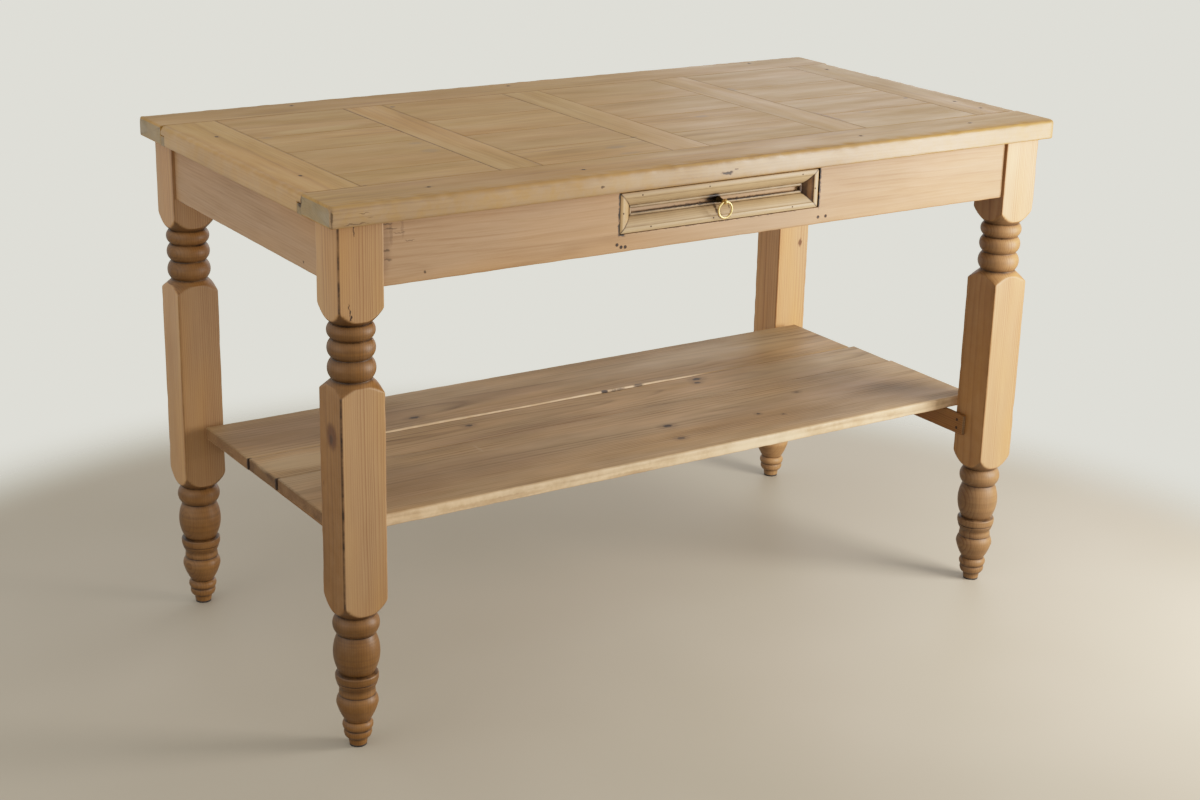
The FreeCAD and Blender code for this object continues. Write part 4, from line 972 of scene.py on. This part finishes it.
def pine(name, shades, ring=3.6, rings=0.5, fibres=0.35, blotch=0.5, axes=None, rough=0.5, gloss=0.35,
         marks=(), **use):
    """Waxed or bare pine. shades: light, middle and dark wood. ring: mm from ring to ring. axes: (along,
    across, through) of a CAD node that has no notes, such as "xyz". marks: (colour, list of spots). use: the
    colours and shares of used_colour."""
    material, tree, surface = new_material(name)
    place = add(tree, "TexCoord", out="Object")
    grain, notes = log_place(tree, place, axes)
    swayed, lines = growth_rings(tree, grain, ring)
    colour, depth, fibre, cloud = wood_colour(tree, grain, swayed, lines, shades, rings, fibres, blotch)
    rough_here = add(tree, "MapRange", {0: cloud, 1: 0.3, 2: 0.7, 3: rough - 0.06, 4: rough + 0.08})
    if notes:
        colour = used_colour(tree, place, notes, colour, depth, **use)
        rough_here = add(tree, "Math", {0: notes[2], 1: -0.12, 2: rough_here}, operation="MULTIPLY_ADD")
    colour = marked(tree, place, colour, marks)
    height = add(tree, "Math", {0: lines, 1: 0.3}, operation="MULTIPLY")
    height = add(tree, "Math", {0: fibre, 1: 0.5, 2: height}, operation="MULTIPLY_ADD")
    relief = add(tree, "Bump", {"Strength": RELIEF_STRENGTH, "Distance": RELIEF, "Height": height})
    for socket, value in (("Base Color", colour), ("Roughness", rough_here), ("Normal", relief)):
        tree.links.new(value, surface.inputs[socket])
    surface.inputs["IOR"].default_value = WAXED_PINE_IOR
    surface.inputs["Specular IOR Level"].default_value = gloss
    print(name, "nodes:", len(tree.nodes))
    return material


print("relief of the grain:", RELIEF / MM, "mm")

# %% [markdown]
# The top was waxed and handled for years: honey brown, darker in the joints, with small knots, ink stains
# and dents. Its right half and front edge are painted a deeper yellow where the light and its sheen fall,
# and pale painted highlights lie along the front edge. Round each nail the iron has darkened the wood. At
# the near left corner the edge is notched and dirty.

# %% Waxed reclaimed pine of the top
TOP_FACE, FRONT_EDGE = 800, -334
top_knots = lying(TOP_FACE, [(540, -80, 7, 5, 0.8), (-45, -143, 8, 3, 0.9), (-258, 225, 6, 5, 0.85)])
edge_knots = [(-11, FRONT_EDGE, 780, 13, 9, 3.6, 1.0), (-8, FRONT_EDGE, 780.5, 10, 9, 3, 1.0),
              (-222, FRONT_EDGE, 782, 4, 6, 2.5, 0.8), (6, FRONT_EDGE, 784, 5, 6, 1.6, 0.8),
              (-588, FRONT_EDGE, 787, 9, 5, 0.8, 0.8), (-578, FRONT_EDGE, 781, 6, 5, 0.7, 0.8)]
stains = lying(TOP_FACE, [(-107, -190, 22, 12, 0.35), (-110, -233, 26, 8, 0.3), (-360, -90, 18, 14, 0.3),
                          (-355, -35, 14, 9, 0.3), (140, -57, 15, 10, 0.35), (400, -145, 16, 9, 0.3),
                          (323, 110, 7, 20, 0.4), (-530, 95, 12, 9, 0.3)])
browned = lying(TOP_FACE, [(-420, -290, 230, 70, 0.22), (-300, 292, 420, 60, 0.2), (322, -150, 4, 60, 0.8),
                           (-195, -163, 75, 1.6, 0.6)])
paler = lying(TOP_FACE, [(-440, 118, 100, 20, 0.3)])
# Painted light: a deeper yellow on the right half of the top and on its front edge there, where the light and
# its sheen fall.
painted_light_tint = [(430, -20, 800, 320, 420, 12, 0.25), (470, FRONT_EDGE, 786, 330, 8, 30, 0.3)]
# Painted highlights: pale streaks on the front edge of the top, below the arris.
painted_edge_highlights = [(60, FRONT_EDGE, 786, 190, 6, 15, 0.4), (-150, FRONT_EDGE, 786, 120, 6, 12, 0.25)]
along_x = ((-469.9, -289.9), (-229.9, -295.3), (270.5, -289.9), (491.5, -289.9), (-395, 303.3), (0, 303.3),
           (505.5, 307.3))
along_y = ((-591.8, 134.9), (-591.8, -152.3), (594.4, 195), (594.4, -140.3), (594.4, -203.1))
halos = lying(TOP_FACE, [(x, y, 8, 4.5, 0.6) for x, y in along_x] + [(x, y, 4.5, 8, 0.6) for x, y in along_y])
corner = [(-633.5, FRONT_EDGE, 784, 1.8, 3, 17, 0.65), (-600, FRONT_EDGE, 774, 26, 5, 1.3, 0.6),
          (-541.5, -245, 796, 6, 5, 9, 0.5), (-635, -241, 784, 6, 7, 5, 0.9),
          (-635, -246, 790, 5, 3, 10, 0.6)]
top_wood = pine("waxed_reclaimed_pine", ("#BC944F", "#A87E39", "#835B24"), ring=4.2, rings=0.24,
                fibres=0.30, blotch=0.6, dirt="#37230F", rubbed="#A48665", fourth="#857A5E",
                fourth_share=0.8, seam_share=0.85, rub_share=0.9, rough=0.47,
                marks=(("#9E7319", painted_light_tint), ("#7A5428", browned), ("#D0B27A", paler), ("#C6AE92", painted_edge_highlights),
                       ("#6F6454", stains), ("#5A4024", halos), ("#2E1C0D", top_knots + edge_knots + corner)))
dress([n for n in nodes if n.startswith(("top_", "bay_")) and n != "top_nails"], top_wood)

# %% [markdown]
# The legs are of the same pine. Their grain runs straight up the faces. The turned parts hold more stain
# and dirt. A large knot sits in the left face of the front-left leg, and short cracks run beside the
# apron's joint.

# %% Stained pine of the legs
leg_marks = [(-618, -288, 472.5, 14, 20, 25, 1.0), (599, 250, 469, 6, 8, 10, 0.9),
             (-618, -260, 397, 3, 1.8, 7, 0.8)]
cracks = [(-618, -286, 468, 12, 7, 9, 0.6), (-595.5, -317, 765, 1.5, 6, 8, 1.0),
          (-594.2, -317, 757, 1.0, 6, 6, 0.9), (-603.5, -317, 659, 1.0, 6, 6, 0.9),
          (-602.2, -317, 651, 1.5, 6, 6, 1.0), (-600.4, -317, 644, 2.2, 6, 5, 1.0)]
leg_wood = pine("stained_pine_post", ("#C0996E", "#AB835E", "#895F3D"), ring=3.4, rings=0.42, fibres=0.3,
                blotch=0.35, dirt="#1A0E06", rubbed="#8A6136", fourth="#85561F", seam_share=0.96,
                rub_share=0.75, rough=0.46, marks=(("#583112", leg_marks), ("#24150A", cracks)))
dress([f"leg_{place}" for place in LEG_PITH], leg_wood)

# %% [markdown]
# The aprons are a pinker, plainer plank with dark scratches by the left leg and smudges where hands take
# hold. The gaps beside the drawer, the gap under it and a spot under its left corner carry painted shade,
# near black.

# %% Plain pine of the aprons
APRON_FACE = -312
scuffs = [(x, APRON_FACE, z, rx, 5, rz, strength) for x, z, rx, rz, strength in (
          (-543, 763, 10, 1.4, 0.75), (-539, 756, 13, 1.1, 0.65), (-545, 727, 7, 2, 0.7),
          (-543, 714, 8, 1.7, 0.6), (-526, 749, 12, 1.2, 0.5), (-510, 737, 10, 1.0, 0.5),
          (-488, 690.5, 3, 3, 0.9))]
scuffs += [(-613, -201, 694, 5, 3, 3, 0.9)]
smudges = [(x, APRON_FACE, z, rx, 5, rz, strength) for x, z, rx, rz, strength in (
           (-551, 735, 16, 60, 0.35), (-538, 750, 3.5, 24, 0.4), (-521, 755, 3, 18, 0.3))]
# Painted shade: the gaps beside the drawer, the gap under it and a spot under its left corner are painted
# near black.
painted_gap_shade = [(x, -300, z, reach, 40, 17, 1.0)
        for x, reach in ((-178.8, 3.2), (178.6, 3.4)) for z in (714, 735, 755)]
painted_gap_shade += [(0, -300, 704.2, 260, 40, 1.2, 0.6), (-174, APRON_FACE, 703.4, 8, 6, 3, 1.0)]
apron_wood = pine("planed_apron_pine", ("#BB977A", "#A78464", "#84603F"), ring=4.5, rings=0.2, fibres=0.45,
                  blotch=0.3, dirt="#3A2613", rubbed="#8E673F", rough=0.5,
                  marks=(("#5A4230", smudges), ("#40301F", scuffs), ("#170E07", painted_gap_shade)))
dress([n for n in nodes if n.endswith("_apron")], apron_wood)

# %% [markdown]
# The drawer's mouldings are greyer than the board behind them, and their hollows are black with old wax
# and painted shade. The dark arc on the lower moulding, beside and below the ring, is a painted shadow of
# the ring; round the post and along the panel's foot, dirt and painted shade lie together.

# %% Waxed pine of the drawer's front
# Dirt and painted shade: a dark patch round the pull's post, and a dark line along the panel's foot where it
# meets the lower moulding.
grime_and_painted_shade = [(-8, -300, 736.5, 16, 20, 10.5, 1.0), (-1, -300, 730.6, 190, 9, 1.6, 0.9)]
# Painted shadow: a dark arc on the lower moulding, beside and below the ring, where the ring's shadow falls.
painted_ring_shadow = [(-7.5, -302, 724, 4, 8, 6, 0.9), (-7, -306, 718, 4, 8, 5, 1.0), (-5, -309, 712.7, 4.5, 8, 4, 1.0),
         (-1, -311, 709.2, 5, 6, 3, 0.9), (16.5, -302, 720, 3, 8, 6, 0.85),
         (16.5, -306, 714.5, 3, 8, 4.5, 0.85), (12, -309, 710.5, 4, 8, 3, 0.8)]
# The rubbed colour here also paints the highlights along the mouldings' flat band.
moulding_wood = pine("waxed_moulding_pine", ("#C4A882", "#AE926F", "#8A6E49"), ring=3.2, rings=0.3,
                     fibres=0.35, blotch=0.4, dirt="#170E07", rubbed="#BFA47C", fourth="#6B431F",
                     seam_share=0.95, rub_share=0.5, rough=0.45,
                     marks=(("#3A2814", painted_ring_shadow), ("#1C1109", grime_and_painted_shade)))
front_wood = pine("waxed_panel_pine", ("#B49478", "#9A7A5C", "#76583C"), ring=4.0, axes="xzy", rough=0.48,
                  marks=(("#1C1109", grime_and_painted_shade),))
dress([n for n in nodes if n.startswith("drawer_moulding")], moulding_wood)
dress(["drawer_front"], front_wood)

# %% [markdown]
# The shelf was never waxed as well: greyer, drier, with many small knots, and darker and paler in broad
# patches; the dark patch on the front board's right half is painted shade by the front-right leg. The
# middle board's ends are chipped, and the back board's raised edge has lost splinters.

# %% Dry pine of the shelf
SHELF_EDGE = -232
shelf_knots = lying(SHELF_HIGH, [(-281, 114, 12, 6, 0.95), (-224, 38, 9, 5, 0.85), (232, 54, 11, 7, 1.0),
                                 (222, 38, 8, 5, 0.85), (53, -118, 11, 7, 1.0), (39, -176, 9, 6, 0.7),
                                 (216, -142, 5, 4, 1.0), (340, -85, 6, 4, 0.6), (252, -164, 3.5, 3, 0.8)])
chips = [(-586, 72, 309, 8, 4.5, 16, 1.0), (-584, -26, 309, 8, 4.5, 16, 1.0), (56, 72, 319, 9, 6, 6, 1.0),
         (84, 70, 319, 36, 3, 6, 0.75), (124, 73, 319, 14, 5, 6, 0.85)]
shadows = [(x, y, z, 2.4 * rx, 2.4 * ry, rz, 0.35) for x, y, z, rx, ry, rz, _ in shelf_knots]
# Painted shade: the first patch, on the front board's right half, stands for the shade by the front-right
# leg; the others darken the boards in broad patches.
darker = lying(SHELF_HIGH, [(330, -150, 330, 85, 0.35), (-330, -130, 220, 60, 0.35),
                            (-120, 150, 170, 30, 0.35), (-450, 150, 260, 90, 0.55),
                            (-470, -130, 180, 100, 0.45), (-150, -20, 260, 22, 0.3)])
darker += [(-586, 24, 306, 10, 46, 9, 0.7)]
lighter = lying(SHELF_HIGH, [(-520, 24, 95, 40, 0.6), (330, 160, 250, 50, 0.4), (420, 25, 170, 40, 0.35)])
edge_cream = [(160, SHELF_EDGE, 308, 110, 8, 12, 0.45)]
edge_brown = [(-330, SHELF_EDGE, 305, 130, 8, 5, 0.4), (-90, SHELF_EDGE, 303, 60, 8, 4, 0.35)]
pale_scratches = lying(SHELF_HIGH, [(-262, -60, 3, 22, 0.4), (-236, -78, 20, 2.5, 0.4)])
shelf_wood = pine("dry_shelf_pine", ("#B69776", "#9A805F", "#674E34"), ring=4.6, rings=0.38, fibres=0.42,
                  blotch=0.66, dirt="#2C1D10", rubbed="#D6B792", fourth="#7A5430", seam_share=0.9,
                  rub_share=0.9, rough=0.6, gloss=0.3,
                  marks=(("#6F5030", darker), ("#B89D78", lighter), ("#E0C9A6", edge_cream),
                         ("#8A6742", edge_brown), ("#B09878", pale_scratches), ("#5A442E", shadows),
                         ("#2E2017", shelf_knots + chips)))
dress([n for n in nodes if n.startswith("shelf_")], shelf_wood)

# %% [markdown]
# Inside, nobody waxed anything: the drawer's box, its runners and kickers are bare and pale, and their
# grain runs along each piece. The bearers under the shelf are old, dark and dull.

# %% Bare pine inside, and the bearers
BARE = ("#C8A67A", "#B28D60", "#8E6B43")
across_pieces = ["drawer_back", "drawer_stops"]
deep_pieces = ["drawer_left_side", "drawer_right_side", "drawer_bottom", "left_drawer_runner",
               "right_drawer_runner", "left_drawer_kicker", "right_drawer_kicker"]
dress(across_pieces, pine("bare_pine_across", BARE, axes="xzy", rough=0.6, gloss=0.3))
dress(deep_pieces, pine("bare_pine_deep", BARE, axes="yxz", rough=0.6, gloss=0.3))
bearer_wood = pine("old_bearer_pine", ("#895F31", "#714A1D", "#503113"), ring=3.5, dirt="#2C1D10",
                   rubbed="#8E673F", rough=0.55)
dress(["left_shelf_bearer", "right_shelf_bearer"], bearer_wood)

# %% [markdown]
# Metal: the ring is brass that hands have kept bright, the post is bright only at its eye, where the ring
# rubs, and dark with age on its shank, and the nails are cut iron. A metal's colour is its reflection, so
# the base colour is the metal's own and the age lies in the mix. The glides under the feet are dark
# moulded plastic.

# %% Metal and plastic
BRIGHT_EYE = (-0.318, -0.313)


def aged_metal(name, bright, aged, rough, share, metallic=1.0, uneven=0.3, handled=None):
    """Metal with a patina: a noise with spots about 2 mm wide mixes the bright and the aged colour, by share
    more or less uneven. handled: the depths, in metres, from where the patina is rubbed off to where it is
    whole."""
    material, tree, surface = new_material(name)
    place = add(tree, "TexCoord", out="Object")
    patina = add(tree, "TexNoise", {"Vector": place, "Scale": 480.0, "Detail": 3.0, "Roughness": 0.6})
    patina = add(tree, "MapRange", {0: patina, 1: 0.35, 2: 0.65, 3: share - uneven, 4: share + uneven})
    if handled:
        depth = add(tree, "SeparateXYZ", {0: place}, out="Y")
        kept = add(tree, "MapRange", {0: depth, 1: handled[0], 2: handled[1]})
        patina = add(tree, "Math", {0: patina, 1: kept}, operation="MULTIPLY")
    rough_here = add(tree, "MapRange", {0: patina, 1: 0.0, 2: 1.0, 3: rough - 0.1, 4: rough + 0.15})
    relief = add(tree, "Bump", {"Strength": 0.3 * uneven, "Distance": 0.0001, "Height": patina})
    tree.links.new(mix(tree, patina, linear(bright), linear(aged)), surface.inputs["Base Color"])
    tree.links.new(rough_here, surface.inputs["Roughness"])
    tree.links.new(relief, surface.inputs["Normal"])
    surface.inputs["Metallic"].default_value = metallic
    print(name, "nodes:", len(tree.nodes))
    return material


ring_brass = aged_metal("handled_brass", "#EBCB85", "#A98A4C", 0.45, 0.15, uneven=0.05)
post_brass = aged_metal("tarnished_brass", "#D9BC7C", "#1E150B", 0.5, 0.95, uneven=0.05, handled=BRIGHT_EYE)
nail_iron = aged_metal("cut_iron_nail", "#4A3D33", "#1E1712", 0.6, 0.6, 0.6)
glide_plastic = aged_metal("dark_glide_plastic", "#2F2A26", "#201C19", 0.55, 0.5, 0.0)
dress(["pull_ring"], ring_brass)
dress(["pull_post", "pull_nut"], post_brass)
dress(["top_nails", "runner_nails", "bearer_nails", "moulding_brads"], nail_iron)
dress(["floor_glides"], glide_plastic)

# %% [markdown]
# The table stands on a plain pale floor. To the eye it is a round pool that fades into the bright
# background on all sides, as a paper sweep does in a studio. For the light it ends 0.9 m behind the
# table, where the pale surroundings shine in low.

# %% Floor
HALF_FLOOR = 6
POOL_CENTRE, POOL_EDGE = (-0.22, -0.33, 0), (1.2, 1.6)
BACKWARDS, LIGHT_EDGE = (0.498, 0.867, 0), (0.82, 0.96)
floor_mesh = bpy.data.meshes.new("floor")
corners = [(x * HALF_FLOOR, y * HALF_FLOOR, 0) for x, y in ((-1, -1), (1, -1), (1, 1), (-1, 1))]
floor_mesh.from_pydata(corners, [], [(0, 1, 2, 3)])
floor = bpy.data.objects.new("floor", floor_mesh)
bpy.context.scene.collection.objects.link(floor)
floor_paper, tree, surface = new_material("matt_floor")
place = add(tree, "TexCoord", out="Object")
cloud = add(tree, "TexNoise", {"Vector": place, "Scale": 1.6, "Detail": 2.0})
shade = add(tree, "ValToRGB", {0: cloud}, stops=((0.3, "#AFA694"), (0.7, "#B8AF9E")))
tree.links.new(shade, surface.inputs["Base Color"])
surface.inputs["Roughness"].default_value = 0.6
surface.inputs["Specular IOR Level"].default_value = 0.3
from_centre = add(tree, "VectorMath", {0: place, 1: POOL_CENTRE}, operation="SUBTRACT")
away = add(tree, "VectorMath", {0: from_centre}, operation="LENGTH", out=1)
behind = add(tree, "VectorMath", {0: place, 1: BACKWARDS}, operation="DOT_PRODUCT", out=1)
pool_fade, light_fade = (
    add(tree, "MapRange", {0: where, 1: edge[0], 2: edge[1]}, interpolation_type="SMOOTHERSTEP")
    for where, edge in ((away, POOL_EDGE), (behind, LIGHT_EDGE)))
fade = add(tree, "Mix", {0: add(tree, "LightPath", out="Is Camera Ray"), 2: light_fade, 3: pool_fade})
clear = add(tree, "BsdfTransparent")
blend = add(tree, "MixShader", {0: fade, 1: surface.outputs[0], 2: clear})
tree.links.new(blend, tree.nodes["Material Output"].inputs["Surface"])
floor_mesh.materials.append(floor_paper)
print("the floor fades out", POOL_EDGE[0], "to", POOL_EDGE[1], "m from", POOL_CENTRE)

# %% [markdown]
# Soft light: pale surroundings, a warm panel close on the right of the drawer side, which makes the
# right-hand leg and apron bright and lets the left end fall away, a weaker one far back for a sheen on
# the top, and a faint one on the left, so that the end apron isn't lost.

# %% Light
ROOM_LIGHT, ROOM_SEEN = ((1.0, 0.97, 0.92, 1), 0.95), ((1.0, 0.99, 0.86, 1), 1.32)
world = bpy.data.worlds.new("pale_room")
bpy.context.scene.world = world
world.use_nodes = True
tree = world.node_tree
tree.nodes.clear()
room, seen = (add(tree, "Background", {0: colour, 1: strength})
              for colour, strength in (ROOM_LIGHT, ROOM_SEEN))
both = add(tree, "MixShader", {0: add(tree, "LightPath", out="Is Camera Ray"), 1: room, 2: seen})
tree.links.new(both, tree.nodes.new("ShaderNodeOutputWorld").inputs["Surface"])


def soft_box(name, place, aim, width, height, watts, colour):
    """A rectangular area light at place, turned to face aim. The camera doesn't see it."""
    lamp = bpy.data.lights.new(name, "AREA")
    lamp.shape, lamp.size, lamp.size_y, lamp.energy, lamp.color = "RECTANGLE", width, height, watts, colour
    made = bpy.data.objects.new(name, lamp)
    bpy.context.scene.collection.objects.link(made)
    made.location = place
    made.rotation_euler = (Vector(aim) - Vector(place)).to_track_quat("-Z", "Y").to_euler()
    made.visible_camera = False
    print(name, watts, "W at", place)


soft_box("window_panel", (1.12, -1.15, 0.78), (0.25, 0, 0.7), 0.6, 0.9, 45, (1, 0.93, 0.85))
soft_box("back_panel", (2.7, 2.3, 1.2), (0.3, 0, 0.8), 1.6, 1.6, 20, (1, 0.98, 0.95))
soft_box("left_panel", (-2.3, -0.3, 0.9), (0, 0, 0.6), 1.2, 1.2, 6, (1, 0.97, 0.92))
